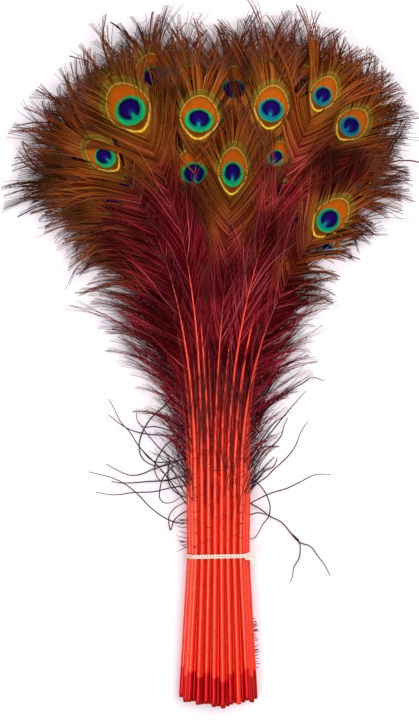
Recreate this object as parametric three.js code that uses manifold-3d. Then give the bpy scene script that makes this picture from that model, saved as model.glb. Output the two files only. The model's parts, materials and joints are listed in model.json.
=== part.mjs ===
// A tied bundle of dyed peacock tail feathers that lies flat, with its eyes up.
// Millimetres, +Z up. +Y runs from the quill ends to the eyes and +X to the right.
// The origin is on the surface that the bundle lies on, under the middle of the tie.
//
// Each feather is one solid: a round quill that turns into a thin vane, whose edges are locks
// of barbs swept towards the tip, with a wide round head about the eye. The feathers stand in
// five rows at the tie, packed like pipes. From there each row opens into two flat levels, so
// that neighbours in a row overlap without touching. The tie is a flat band with a knot.

import * as THREE from "three";
import { mergeVertices } from "three/addons/utils/BufferGeometryUtils.js";
import Module from "manifold-3d";

const wasm = await Module();
wasm.setup();

// Quills
const quillRadius = 2.3;
const quillPitch = 5.0;
const quillSides = 8;
const quillEndY = -113;
const quillEndFarther = 6;
const quillEndRagged = 3;
const quillEndSpread = 1.3;
const quillEndTaper = 0.8;
const straightTopY = 66;
const straightTopSpread = 1.04;
const vaneStartRadius = 1.95;
const shaftTipRadius = 0.6;
const startPull = 0.4;
const sharpTurn = 130;

// Tie
const tieThickness = 2.0;
const tieWidth = 3.6;
const tieGap = 0.25;
const tieCornerSteps = 5;
const knotRadius = 2.6;
const tailRadius = 0.9;

// Heights of the rows at the tie and of the levels at the far end of the fan
const rowCounts = [8, 9, 10, 9, 8];
const rowPitch = (quillPitch * Math.sqrt(3)) / 2;
const lowestQuillZ = tieThickness + tieGap + quillRadius;
const fanEndY = 430;
const lowestLevelZ = 0.75;
const levelPitch = 4.2;

// The vane of one feather, measured from the eye: forward is towards the tip
const headForward = 54;
const headHalfWidth = 40;
const looseHalfWidth = 46;
const looseForward = 62;
const looseStartForward = 30;
const looseStartHalfWidth = 16;
const looseEndBack = 76;
const headStartBack = 54;
const shaftPastEye = 6;
const notchShare = 0.84;
const looseLocks = 6;
const headLocks = 8;
const clearShare = 0.45;
const outerShare = 0.68;
const opensFromY = 180;
const opensFullyY = 260;

// Where each eye of the three upper rows lies, from left to right: its place and the way that
// the feather points there, in degrees to the right of +Y.
const upperEyes = {
  4: [
    [-89, 312, -50],
    [-69, 348, -34],
    [-15, 341, 6],
    [11, 299, 3],
    [41, 349, 9],
    [81, 359, 26],
    [103, 336, 45],
    [86, 263, 42],
  ],
  3: [
    [-83, 275, -62],
    [-71, 291, -52],
    [-48, 297, -34],
    [-19, 299, -5],
    [6, 330, 3],
    [45, 312, 24],
    [51, 287, 31],
    [62, 262, 42],
    [104, 294, 60],
  ],
  2: [
    [-112, 288, -68],
    [-108, 315, -56],
    [-97, 340, -45],
    [-76, 362, -30],
    [-51, 376, -9],
    [-20, 366, -3],
    [12, 366, 3],
    [38, 371, 7],
    [66, 368, 12],
    [100, 350, 38],
  ],
};
// The two lower rows open evenly.
const lowerRows = {
  1: { turn: 70, reachX: 100, nearY: 246, farY: 112 },
  0: { turn: 64, reachX: 96, nearY: 222, farY: 104 },
};

const radians = THREE.MathUtils.degToRad;
const lerp = THREE.MathUtils.lerp;
const smooth = THREE.MathUtils.smoothstep;

// The same even spread of shares from 0 to 1 for the same place in the list
const share = (i, salt) => (i * 0.6180339887 + salt * 0.7548776662) % 1;

function eyesOfRow(row) {
  if (upperEyes[row]) return upperEyes[row];
  const { turn, reachX, nearY, farY } = lowerRows[row];
  const count = rowCounts[row];
  return Array.from({ length: count }, (_, i) => {
    const tilt = turn * ((2 * i) / (count - 1) - 1);
    const x = reachX * Math.sin(radians(tilt));
    const y = nearY + farY * Math.cos(radians(tilt));
    return [x, y - 26 * (i % 2), tilt];
  });
}

// The height of a feather's middle line: the rows part evenly from the tie to the fan's end.
function heightAt(row, upper, y) {
  const atTie = lowestQuillZ + row * rowPitch;
  if (y < 0) {
    const sunk = lowestQuillZ - quillRadius - 0.1;
    return atTie - sunk * Math.min(1, y / quillEndY);
  }
  const atEnd = lowestLevelZ + (2 * row + (upper ? 1 : 0)) * levelPitch;
  return lerp(atTie, atEnd, y / fanEndY);
}

// A feather seen from above: straight to straightTopY, then one smooth bend to its eye, and
// straight on past the eye. at(q) gives the place and direction at q past the eye.
function featherPath(row, i) {
  const count = rowCounts[row];
  const [eyeX, eyeY, tilt] = eyesOfRow(row)[i];
  const tieX = (i - (count - 1) / 2) * quillPitch;
  const start = new THREE.Vector2(tieX * straightTopSpread, straightTopY);
  const eye = new THREE.Vector2(eyeX, eyeY);
  const heading = new THREE.Vector2(Math.sin(radians(tilt)), Math.cos(radians(tilt)));
  const reach = start.distanceTo(eye);
  const pull = startPull * reach;
  const endPull = startPull * reach * (1 - Math.abs(tilt) / sharpTurn);
  const bend = new THREE.CubicBezierCurve(
    start,
    start.clone().add(new THREE.Vector2(0.02 * tieX, pull)),
    eye.clone().addScaledVector(heading, -endPull),
    eye,
  );
  const length = bend.getLength();
  const at = (q) => {
    if (q >= 0) return { place: eye.clone().addScaledVector(heading, q), heading };
    const u = Math.max(0, 1 + q / length);
    return { place: bend.getPointAt(u), heading: bend.getTangentAt(u) };
  };
  return { row, i, tieX, length, at, upper: i % 2 === 1 };
}

// The nearest that the middle line of another feather, with its head, comes to a place
function distanceTo(path, place) {
  let least = Infinity;
  for (let q = -path.length; q <= headForward; q += 6)
    least = Math.min(least, path.at(q).place.distanceTo(place));
  return least;
}

// How far a vane may reach sideways at q, so that it stays clear of its neighbours: half way
// to the next quill where the row is tight, and half way to the next vane of its own level
// once the levels are apart.
function roomBeside(path, rowPaths, side, q) {
  const { place } = path.at(q);
  const beside = rowPaths.filter((other) => Math.sign(other.i - path.i) === side);
  const half = (others) =>
    clearShare * Math.min(...others.map((other) => distanceTo(other, place)));
  const tight = half(beside);
  const open = half(beside.filter((other) => other.upper === path.upper));
  if (!beside.length) return looseHalfWidth * outerShare;
  return lerp(tight, Math.min(open, 3 * tight), smooth(place.y, opensFromY, opensFullyY));
}

// One lock on each side of the shaft: the base is at q on the shaft, and the tip lies forward
// of it. Every second one is a notch, shorter than the locks beside it.
function lockPlan(path) {
  const locks = [];
  for (let n = 0; n <= looseLocks; n++) {
    const v = n / looseLocks;
    const base = lerp(-path.length, -looseEndBack, v);
    const ahead = lerp(looseStartForward, looseForward, Math.sqrt(v));
    const wide = lerp(looseStartHalfWidth, looseHalfWidth, Math.sqrt(v));
    locks.push({ base, ahead, wide });
  }
  for (let n = 0; n < headLocks; n++) {
    const v = n / (headLocks - 1);
    const base = lerp(-headStartBack, shaftPastEye, v);
    const turn = radians(lerp(86, 8, v));
    const ahead = headForward * Math.cos(turn) - base;
    locks.push({ base, ahead, wide: headHalfWidth * Math.sin(turn) });
  }
  return locks.map((lock, n) => {
    const keep = n % 2 ? notchShare : 1;
    return { base: lock.base, ahead: lock.ahead * keep, wide: lock.wide * keep };
  });
}

function shaftRadius(path, q) {
  const back = THREE.MathUtils.clamp(-q / path.length, 0, 1);
  return lerp(shaftTipRadius, vaneStartRadius, back ** 1.6);
}

// Every ring of points goes round its section from the right side over the top.
function roundRing(centre, radius) {
  const points = [];
  for (let n = 0; n < quillSides; n++) {
    const turn = (2 * Math.PI * n) / quillSides;
    points.push(
      new THREE.Vector3(
        centre.x + radius * Math.cos(turn),
        centre.y,
        centre.z + radius * Math.sin(turn),
      ),
    );
  }
  return points;
}

function vaneRing(path, rowPaths, lock) {
  const { place } = path.at(lock.base);
  const z = heightAt(path.row, path.upper, place.y);
  const radius = shaftRadius(path, lock.base);
  const tip = (side) => {
    const q = lock.base + lock.ahead;
    const there = path.at(q);
    const room = roomBeside(path, rowPaths, side, q);
    const wide = Math.max(Math.min(lock.wide, room), radius * 1.02);
    const x = there.place.x + side * wide * there.heading.y;
    const y = there.place.y - side * wide * there.heading.x;
    return new THREE.Vector3(x, y, heightAt(path.row, path.upper, y));
  };
  const top = new THREE.Vector3(place.x, place.y, z + radius);
  const bottom = new THREE.Vector3(place.x, place.y, z - radius);
  return [tip(1), top, tip(-1), bottom];
}

// Joins two rings of any counts with one band of triangles
function joinRings(faces, a, firstA, b, firstB) {
  let i = 0;
  let j = 0;
  while (i < a.length || j < b.length) {
    const onA = firstA + (i % a.length);
    const onB = firstB + (j % b.length);
    const stepA = j === b.length || (i < a.length && (i + 1) / a.length <= (j + 1) / b.length);
    if (stepA) {
      faces.push(onA, onB, firstA + ((i + 1) % a.length));
      i += 1;
    } else {
      faces.push(onA, onB, firstB + ((j + 1) % b.length));
      j += 1;
    }
  }
}

// A closed solid from rings, with a flat first end and an apex past the last ring
function solidFromRings(rings, apex) {
  const points = [];
  const faces = [];
  const firsts = rings.map((ring) => {
    const first = points.length;
    points.push(...ring);
    return first;
  });
  for (let n = 1; n + 1 < rings[0].length; n++) faces.push(0, n, n + 1);
  for (let n = 1; n < rings.length; n++)
    joinRings(faces, rings[n - 1], firsts[n - 1], rings[n], firsts[n]);
  const last = rings.at(-1);
  const lastFirst = firsts.at(-1);
  points.push(apex);
  for (let n = 0; n < last.length; n++)
    faces.push(lastFirst + ((n + 1) % last.length), lastFirst + n, points.length - 1);
  const geometry = new THREE.BufferGeometry();
  geometry.setAttribute(
    "position",
    new THREE.Float32BufferAttribute(points.flatMap((p) => p.toArray()), 3),
  );
  geometry.setIndex(faces);
  return geometry;
}

// The quill from its open end, through the tie, to where the barbs begin
function quillRings(path, number) {
  const middle = 1 - Math.abs(path.tieX) / (quillPitch * 5);
  const endY = quillEndY - quillEndFarther * middle + quillEndRagged * (share(number, 1) - 0.5);
  const lean = 0.9 * (share(number, 2) - 0.5);
  const stations = [
    [endY, quillRadius * quillEndTaper],
    [endY + 4, quillRadius * 0.96],
    [endY + 34, quillRadius],
    [0, quillRadius],
  ];
  return stations.map(([y, radius]) => {
    const down = Math.min(1, y / quillEndY);
    const x = path.tieX * lerp(1, quillEndSpread, down) + lean * down;
    const z = heightAt(path.row, path.upper, y);
    return roundRing(new THREE.Vector3(x, y, z), radius);
  });
}

function feather(path, rowPaths, number) {
  const locks = lockPlan(path);
  const vane = locks.map((lock) => vaneRing(path, rowPaths, lock));
  const tipPlace = path.at(headForward * notchShare).place;
  const apex = new THREE.Vector3(
    tipPlace.x,
    tipPlace.y,
    heightAt(path.row, path.upper, tipPlace.y),
  );
  return solidFromRings([...quillRings(path, number), ...vane], apex);
}

// A closed geometry as a manifold solid, and back
function toSolid(geometry) {
  const bare = geometry.clone();
  bare.deleteAttribute("normal");
  bare.deleteAttribute("uv");
  const merged = mergeVertices(bare, 1e-3);
  return new wasm.Manifold(
    new wasm.Mesh({
      numProp: 3,
      vertProperties: merged.attributes.position.array,
      triVerts: new Uint32Array(merged.index.array),
    }),
  );
}

function fromSolid(solid) {
  const mesh = solid.getMesh();
  const geometry = new THREE.BufferGeometry();
  geometry.setAttribute("position", new THREE.BufferAttribute(mesh.vertProperties, 3));
  geometry.setIndex(new THREE.BufferAttribute(mesh.triVerts, 1));
  return geometry;
}

// The outline round the bundle at the tie: six corners, each an arc about an outer quill
function bundleOutline(Outline, radius) {
  const corners = [0, 2, 4].map((row) => ({
    x: ((rowCounts[row] - 1) / 2) * quillPitch,
    z: lowestQuillZ + row * rowPitch,
  }));
  const arcs = [
    { ...corners[0], from: -90, to: -30 },
    { ...corners[1], from: -30, to: 30 },
    { ...corners[2], from: 30, to: 90 },
    { x: -corners[2].x, z: corners[2].z, from: 90, to: 150 },
    { x: -corners[1].x, z: corners[1].z, from: 150, to: 210 },
    { x: -corners[0].x, z: corners[0].z, from: 210, to: 270 },
  ];
  const points = arcs.flatMap(({ x, z, from, to }) =>
    Array.from({ length: tieCornerSteps + 1 }, (_, n) => {
      const turn = radians(lerp(from, to, n / tieCornerSteps));
      return new THREE.Vector2(x + radius * Math.cos(turn), z + radius * Math.sin(turn));
    }),
  );
  return new Outline(points);
}

// A loose end of the string along a few points, with a six-sided section
function tailTube(points) {
  const section = new THREE.Shape(
    Array.from({ length: 6 }, (_, n) => {
      const turn = (Math.PI * n) / 3;
      return new THREE.Vector2(tailRadius * Math.cos(turn), tailRadius * Math.sin(turn));
    }),
  );
  const extrudePath = new THREE.CatmullRomCurve3(points.map((p) => new THREE.Vector3(...p)));
  return new THREE.ExtrudeGeometry(section, { extrudePath, steps: 6, bevelEnabled: false });
}

// The band round the quills, with its knot on the upper right and two loose ends
function tie() {
  const inner = quillRadius + tieGap;
  const outline = bundleOutline(THREE.Shape, inner + tieThickness);
  outline.holes.push(bundleOutline(THREE.Path, inner));
  const band = new THREE.ExtrudeGeometry(outline, { depth: tieWidth, bevelEnabled: false });
  band.rotateX(Math.PI / 2).translate(0, tieWidth / 2, 0);
  const knotX = 24.6;
  const knotZ = lowestQuillZ + 3.1 * rowPitch;
  const knot = new THREE.SphereGeometry(knotRadius, 10, 7);
  knot.scale(0.9, 1.15, 0.9).translate(knotX, 0, knotZ);
  const upperTail = tailTube([
    [knotX, 0, knotZ],
    [knotX + 3.2, 2.4, knotZ - 0.6],
    [knotX + 5.8, 4.6, knotZ - 2.6],
  ]);
  const lowerTail = tailTube([
    [knotX, 0, knotZ],
    [knotX + 2.9, -3.4, knotZ - 1.2],
    [knotX + 4.4, -8.2, knotZ - 3.8],
    [knotX + 4.8, -13.0, knotZ - 6.4],
  ]);
  const all = [knot, upperTail, lowerTail].reduce(
    (solid, piece) => solid.add(toSolid(piece)),
    toSolid(band),
  );
  return fromSolid(all);
}

const featherMaterial = new THREE.MeshStandardMaterial({
  color: 0x7a2415,
  roughness: 0.6,
  metalness: 0,
});
const tieMaterial = new THREE.MeshStandardMaterial({
  color: 0xf0e2cc,
  roughness: 0.8,
  metalness: 0,
});

const bundle = new THREE.Group();
let number = 0;
for (let row = 0; row < rowCounts.length; row++) {
  const rowPaths = Array.from({ length: rowCounts[row] }, (_, i) => featherPath(row, i));
  for (const path of rowPaths) {
    number += 1;
    const mesh = new THREE.Mesh(feather(path, rowPaths, number), featherMaterial);
    mesh.name = "feather_" + String(number).padStart(2, "0");
    bundle.add(mesh);
  }
}
const band = new THREE.Mesh(tie(), tieMaterial);
band.name = "tie_band";
bundle.add(band);

export default bundle;
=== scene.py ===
"""Tied bundle of dyed peacock tail feathers, lying flat, seen from above.

Lengths in the code are millimetres unless a name ends in _m. +Y runs from the quill ends to
the eyes, +X to the right, +Z up, and the origin is under the middle of the tie.
"""

import json
import math

import bpy
import numpy as np
from bpy.props import FloatProperty, FloatVectorProperty, IntProperty, PointerProperty
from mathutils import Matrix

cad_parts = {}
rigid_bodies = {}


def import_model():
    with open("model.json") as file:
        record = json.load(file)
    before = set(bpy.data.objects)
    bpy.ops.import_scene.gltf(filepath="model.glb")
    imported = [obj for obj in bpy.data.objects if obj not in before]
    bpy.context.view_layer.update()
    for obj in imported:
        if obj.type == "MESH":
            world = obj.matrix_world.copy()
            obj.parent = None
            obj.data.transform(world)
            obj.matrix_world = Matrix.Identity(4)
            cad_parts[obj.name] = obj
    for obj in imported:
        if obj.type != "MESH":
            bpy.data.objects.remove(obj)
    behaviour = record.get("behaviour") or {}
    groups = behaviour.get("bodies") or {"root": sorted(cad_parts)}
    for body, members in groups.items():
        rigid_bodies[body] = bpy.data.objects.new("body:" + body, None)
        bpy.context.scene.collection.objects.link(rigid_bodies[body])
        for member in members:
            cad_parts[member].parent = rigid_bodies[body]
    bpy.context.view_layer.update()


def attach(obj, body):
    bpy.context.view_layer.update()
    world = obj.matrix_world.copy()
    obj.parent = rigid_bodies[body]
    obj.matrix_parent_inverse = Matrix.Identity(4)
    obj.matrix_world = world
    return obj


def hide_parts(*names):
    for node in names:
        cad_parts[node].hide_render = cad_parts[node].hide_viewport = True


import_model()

bl_info = {
    "name": "Peacock feather bundle",
    "version": (1, 0, 0),
    "blender": (4, 5, 0),
    "location": "View3D > Sidebar > Feathers",
    "description": "Dyed peacock tail feathers in a tied bundle",
    "category": "Add Mesh",
}

MM = 0.001

# Sizes that the solids share: how many feathers stand in each row at the tie, lowest first,
# and how the quills and shafts run
ROW_COUNTS = (8, 9, 10, 9, 8)
WIDEST_ROW = 2
TOP_ROW = 4
QUILL_RADIUS = 2.3
QUILL_PITCH = 5.0
ROW_PITCH = QUILL_PITCH * math.sqrt(3) / 2
QUILL_END_Y = -113.0
QUILL_END_FARTHER = 6.0
QUILL_END_RAGGED = 3.0
QUILL_END_SPREAD = 1.3
QUILL_END_LEAN = 0.9
STRAIGHT_TOP_Y = 66.0
STRAIGHT_TOP_SPREAD = 1.04
VANE_START_RADIUS = 1.95
START_PULL = 0.4
START_LEAN = 0.02
BEND_STEPS = 401
SHARP_TURN = 130.0
LOWEST_QUILL_Z = 4.55
QUILL_END_GAP = 0.1
FAN_END_Y = 430.0
LOWEST_LEVEL_Z = 0.75
LEVEL_PITCH = 4.2

# The eyes from left to right in the three upper rows: x, y, the way that the feather points
# in degrees to the right of +Y, the width and the height of its eye against a full one, and
# how red its brown barbs are
UPPER_EYES = {
    4: (
        (-89, 312, -50, 0.72, 0.92, 0.50),
        (-69, 348, -34, 1.12, 1.20, 0.25),
        (-15, 341, 6, 1.02, 0.98, 0.15),
        (11, 299, 3, 0.76, 1.05, 0.55),
        (41, 349, 9, 0.90, 0.98, 0.25),
        (81, 359, 26, 0.68, 0.82, 0.25),
        (103, 336, 45, 0.76, 0.84, 0.35),
        (86, 263, 42, 0.80, 1.05, 0.60),
    ),
    3: (
        (-83, 275, -62, 0.80, 0.90, 0.20),
        (-71, 291, -52, 0.80, 0.90, 0.60),
        (-48, 297, -34, 0.80, 0.90, 0.70),
        (-19, 299, -5, 1.00, 1.08, 0.70),
        (6, 330, 3, 0.90, 0.90, 0.50),
        (45, 312, 24, 0.60, 0.70, 0.40),
        (51, 287, 31, 0.80, 0.85, 0.70),
        (62, 262, 42, 0.80, 0.85, 0.90),
        (104, 294, 60, 0.90, 0.90, 1.00),
    ),
    2: (
        (-112, 288, -68, 0.90, 0.90, 0.10),
        (-108, 315, -56, 0.90, 0.95, 0.50),
        (-97, 340, -45, 1.00, 1.00, 0.65),
        (-76, 362, -30, 1.00, 1.00, 0.10),
        (-51, 376, -9, 1.00, 1.00, 0.45),
        (-20, 366, -3, 1.00, 1.00, 0.50),
        (12, 366, 3, 1.00, 1.00, 0.85),
        (38, 371, 7, 0.90, 0.95, 0.90),
        (66, 368, 12, 0.90, 0.95, 0.40),
        (100, 350, 38, 0.95, 0.95, 0.60),
    ),
}
# The two lower rows open evenly: the widest turn, the reach to the side, the nearest eye and
# how much farther the middle ones lie
LOWER_ROWS = {1: (70, 100, 246, 112), 0: (64, 96, 222, 104)}
LOWER_EYE_SIZE = (0.62, 0.62)
# How much nearer every other eye of theirs lies
NEARER = 26

# What stays in view of an eye under other feathers, by row and place: half of its width, half
# of its height, and the share of the barbs over it that end at its edge
WINDOWS = {
    (4, 0): (16.5, 18.0, 0.85),
    (4, 1): (20.5, 23.0, 1.0),
    (4, 2): (17.5, 19.5, 1.0),
    (4, 3): (12.0, 19.5, 1.0),
    (4, 4): (15.0, 18.5, 1.0),
    (4, 5): (13.0, 15.0, 1.0),
    (4, 6): (15.0, 17.0, 1.0),
    (4, 7): (17.0, 18.5, 1.0),
    (3, 0): (9.0, 9.0, 0.45),
    (3, 1): (6.0, 6.0, 0.4),
    (3, 2): (6.0, 6.0, 0.3),
    (3, 3): (11.0, 9.5, 0.93),
    (3, 5): (9.5, 10.5, 0.85),
    (3, 6): (5.0, 9.0, 0.85),
    (3, 7): (4.0, 4.0, 0.5),
    (2, 4): (9.0, 10.0, 0.66),
    (2, 6): (10.0, 10.0, 0.80),
    (2, 8): (9.0, 11.0, 0.66),
}

# How far the thick of the bundle reaches: y with the left and the right edge there, and x with
# the upper edge there
SIDES = (
    (30, -33, 26),
    (76, -47, 36),
    (108, -54, 49),
    (138, -63, 54),
    (169, -82, 69),
    (200, -92, 79),
    (230, -98, 80),
    (260, -121, 108),
    (290, -150, 141),
    (310, -158, 143),
    (352, -148, 148),
    (368, -130, 139),
    (398, -92, 107),
    (436, -54, 64),
)
CROWN = (
    (-160, 347),
    (-110, 389),
    (-89, 405),
    (-63, 431),
    (-44, 423),
    (-8, 416),
    (30, 439),
    (53, 422),
    (76, 431),
    (104, 406),
    (121, 383),
    (142, 364),
)
# Where long locks stand out farthest over the upper edge, as the middle x, the reach to each
# side and the height, and how far any barb spreads to the left and the right
PLUME = (-95, 20, 24)
WIDEST = (-177, 168)
# The feathers whose barbs make the edge of the bundle, by row and place, and how far the
# barbs of the others end inside it
EDGE_FEATHERS = (
    (4, 0), (4, 5), (4, 6), (4, 7), (3, 0), (3, 4), (3, 8), (2, 0), (2, 1), (2, 2), (2, 3),
    (2, 4), (2, 5), (2, 6), (2, 7), (2, 8), (2, 9), (1, 0), (1, 8), (0, 0), (0, 7),
)
INNER_MARGIN = 18.0


def even_share(number, salt):
    """An even spread of shares from 0 to 1, the same for the same number."""
    return (number * 0.6180339887 + salt * 0.7548776662) % 1.0


def smooth_step(value, low, high):
    t = np.clip((value - low) / (high - low), 0, 1)
    return t * t * (3 - 2 * t)


def between(ends, share):
    """The first of two ends where the share is 0, the second where it is 1."""
    return ends[0] + (ends[1] - ends[0]) * share


def unit(vectors):
    return vectors / (np.linalg.norm(vectors, axis=-1)[..., None] + 1e-9)


def run_lengths(points):
    """How far each point of a line lies along it from the first."""
    steps = np.linalg.norm(np.diff(points, axis=0), axis=1)
    return np.concatenate(((0.0,), np.cumsum(steps)))


def read_at(places, known, values):
    """Several columns of values, read at the places between the known ones."""
    return np.stack([np.interp(places, known, one) for one in values.T], -1)


def eyes_of_row(row):
    if row in UPPER_EYES:
        return UPPER_EYES[row]
    turn, reach_x, near_y, far_y = LOWER_ROWS[row]
    eyes = []
    for i in range(ROW_COUNTS[row]):
        tilt = turn * (2 * i / (ROW_COUNTS[row] - 1) - 1)
        x = reach_x * math.sin(math.radians(tilt))
        y = near_y + far_y * math.cos(math.radians(tilt)) - NEARER * (i % 2)
        eyes.append((x, y, tilt, *LOWER_EYE_SIZE, even_share(i, row)))
    return tuple(eyes)


def heading_of(tilt):
    return np.array((math.sin(math.radians(tilt)), math.cos(math.radians(tilt))))


class FeatherLine:
    """The middle line of one feather, measured in mm past its eye."""

    def __init__(self, row, i, number):
        self.row, self.i, self.number = row, i, number
        count = ROW_COUNTS[row]
        eye_x, eye_y, tilt, self.eye_width, self.eye_height, self.redness = eyes_of_row(row)[i]
        self.outer = -1 if i == 0 else 1 if i == count - 1 else 0
        self.level = 2 * row + i % 2
        self.tie_x = (i - (count - 1) / 2) * QUILL_PITCH
        start = np.array((self.tie_x * STRAIGHT_TOP_SPREAD, STRAIGHT_TOP_Y))
        eye = np.array((eye_x, eye_y), float)
        pull = START_PULL * np.linalg.norm(eye - start)
        end_pull = heading_of(tilt) * pull * (1 - abs(tilt) / SHARP_TURN)
        corners = (start, start + (START_LEAN * self.tie_x, pull), eye - end_pull, eye)
        u = np.linspace(0, 1, BEND_STEPS)[:, None]
        weights = ((1 - u) ** 3, 3 * u * (1 - u) ** 2, 3 * u * u * (1 - u), u**3)
        self.bend = sum(w * c for w, c in zip(weights, corners))
        self.arc = run_lengths(self.bend)
        self.length = float(self.arc[-1])
        self.headings = unit(np.gradient(self.bend, self.arc, axis=0))
        middle = 1 - abs(self.tie_x) / (QUILL_PITCH * ROW_COUNTS[WIDEST_ROW] / 2)
        ragged = QUILL_END_RAGGED * (even_share(number, 1) - 0.5)
        end_y = QUILL_END_Y - QUILL_END_FARTHER * middle + ragged
        self.lean = QUILL_END_LEAN * (even_share(number, 2) - 0.5)
        self.quill_end = -self.length - STRAIGHT_TOP_Y + end_y

    def at(self, q):
        """Places and headings seen from above at q."""
        q = np.asarray(q, float)
        along = q + self.length
        place = read_at(along, self.arc, self.bend)
        heading = unit(read_at(along, self.arc, self.headings))
        place += heading * np.clip(q, 0, None)[..., None]
        low = along < 0
        y = STRAIGHT_TOP_Y + np.minimum(along, 0)
        down = np.clip(y / QUILL_END_Y, 0, None)
        spread = 1 + (STRAIGHT_TOP_SPREAD - 1) * np.clip(y / STRAIGHT_TOP_Y, 0, 1)
        spread = spread + (QUILL_END_SPREAD - 1) * down
        place[low, 0] = (self.tie_x * spread + self.lean * down)[low]
        place[low, 1] = y[low]
        heading[low] = (0, 1)
        return place, heading

    def at_y(self, y):
        """The place of the quill or lower shaft at a height on the page."""
        place, _ = self.at(np.array([y - STRAIGHT_TOP_Y - self.length]))
        return place[0]

    def height(self, y):
        """The height of the middle line over the surface below the bundle."""
        at_tie = LOWEST_QUILL_Z + self.row * ROW_PITCH
        sunk = (LOWEST_QUILL_Z - QUILL_RADIUS - QUILL_END_GAP) * np.clip(y / QUILL_END_Y, 0, 1)
        at_end = LOWEST_LEVEL_Z + self.level * LEVEL_PITCH
        return at_tie + (at_end - at_tie) * np.clip(y, 0, None) / FAN_END_Y - sunk

    def to_world(self, across, q, lift):
        """Turns places on the feather, across it and along it, into places in the scene."""
        place, heading = self.at(q)
        x = place[..., 0] + across * heading[..., 1]
        y = place[..., 1] - across * heading[..., 0]
        return np.stack([x, y, self.height(0.5 * (y + place[..., 1])) + lift], -1)


def all_lines():
    lines = []
    for row, count in enumerate(ROW_COUNTS):
        for i in range(count):
            lines.append(FeatherLine(row, i, len(lines) + 1))
    return lines


# Settings


def paint(name, description, *rgb):
    return FloatVectorProperty(
        name=name, description=description, subtype="COLOR", default=rgb, min=0, max=1,
    )


def millimetres(name, description, default, low, high):
    return FloatProperty(
        name=name, description=description + ", in mm", default=default, min=low, max=high,
    )


def metres(name, description, default):
    return FloatProperty(name=name, description=description, default=default, unit="LENGTH")


class BarbSettings(bpy.types.PropertyGroup):
    """How the barbs grow along the shafts"""

    loose_step: millimetres("Loose step", "Gap between loose barbs on the shaft", 0.56, 0.2, 4.0)
    head_step: millimetres("Head step", "Gap between barbs about the eye", 0.29, 0.1, 2.0)
    loose_width: millimetres("Loose width", "Width of a loose barb", 0.40, 0.1, 3.0)
    head_width: millimetres("Head width", "Width of a barb about the eye", 0.62, 0.1, 3.0)
    hair_width: millimetres("Hair width", "Width of a stray barb", 1.0, 0.1, 3.0)
    steps: IntProperty(name="Steps", description="Faces along one barb", default=7, min=3, max=16)
    seed: IntProperty(name="Seed", description="Start of the even disorder", default=11)


class DyeSettings(bpy.types.PropertyGroup):
    """The colours of the dyed feathers"""

    quill: paint("Quill", "Bright dyed quill", 0.89, 0.003, 0.0003)
    quill_end: paint("Quill end", "Dark soaked end of a quill", 0.60, 0.0002, 0.010)
    crimson: paint("Crimson", "Light strands near the quills", 0.23, 0.013, 0.022)
    deep_crimson: paint("Deep crimson", "Dark strands near the quills", 0.050, 0.0003, 0.0012)
    bronze: paint("Bronze", "Light strands of a golden brown feather", 0.20, 0.056, 0.006)
    deep_bronze: paint(
        "Deep bronze", "Dark strands of a golden brown feather", 0.066, 0.012, 0.0009,
    )
    red_brown: paint("Red brown", "Light strands of a red brown feather", 0.175, 0.028, 0.009)
    deep_red_brown: paint(
        "Deep red brown", "Dark strands of a red brown feather", 0.062, 0.0045, 0.0022,
    )


class EyeSettings(bpy.types.PropertyGroup):
    """The colours of the eye of a feather"""

    heart: paint("Heart", "Dark blue heart", 0.009, 0.0015, 0.080)
    blue: paint("Blue", "Brighter blue at the notch of the heart", 0.003, 0.040, 0.17)
    turquoise: paint("Turquoise", "Turquoise about the heart", 0.003, 0.17, 0.15)
    green: paint("Green", "Outer part of the green ring", 0.005, 0.31, 0.06)
    rust: paint("Rust", "Rust field beyond the heart", 0.38, 0.072, 0.003)
    gold: paint("Gold", "Thin gold ring", 0.44, 0.28, 0.045)
    bright_gold: paint("Bright gold", "The base of the gold ring", 0.72, 0.46, 0.03)


class TieSettings(bpy.types.PropertyGroup):
    """The string round the quills"""

    ply_radius: millimetres("Ply radius", "Radius of one ply of the string", 0.47, 0.1, 2.0)
    twist_pitch: millimetres("Twist pitch", "Length of one turn of the plies", 4.6, 1.0, 20.0)
    colour: paint("String", "Cream cotton", 1.0, 0.95, 0.85)


class StageSettings(bpy.types.PropertyGroup):
    """The floor, the lights and the camera"""

    camera_height_m: metres("Camera height", "Height of the camera over the floor", 1.36)
    look_x_m: metres("Look X", "Middle of the view", -0.007)
    look_y_m: metres("Look Y", "Middle of the view", 0.1525)
    lens_mm: FloatProperty(name="Lens", description="Focal length, in mm", default=85.0)
    room_light: FloatProperty(
        name="Room light", description="Strength of the even light", default=0.38,
    )
    key_light: FloatProperty(
        name="Key light", description="Power of the large soft light, in W", default=23.0,
    )


# Helpers


def deselect_all():
    if bpy.context.object and bpy.context.object.mode != "OBJECT":
        bpy.ops.object.mode_set(mode="OBJECT")
    bpy.ops.object.select_all(action="DESELECT")


def mesh_from_arrays(name, material, vertices, quads, layers):
    """A mesh in metres from arrays in mm, with one value pair per vertex for each UV layer."""
    mesh = bpy.data.meshes.new(name)
    mesh.vertices.add(len(vertices))
    mesh.loops.add(quads.size)
    mesh.loops.foreach_set("vertex_index", quads.astype(np.int32).ravel())
    mesh.polygons.add(len(quads))
    starts = np.arange(0, quads.size, quads.shape[1], dtype=np.int32)
    mesh.polygons.foreach_set("loop_start", starts)
    mesh.update(calc_edges=True)
    corners = {layer: values[quads.ravel()] for layer, values in layers.items()}
    finish_mesh(mesh, material, vertices, corners)
    mesh.validate()
    return mesh


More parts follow.
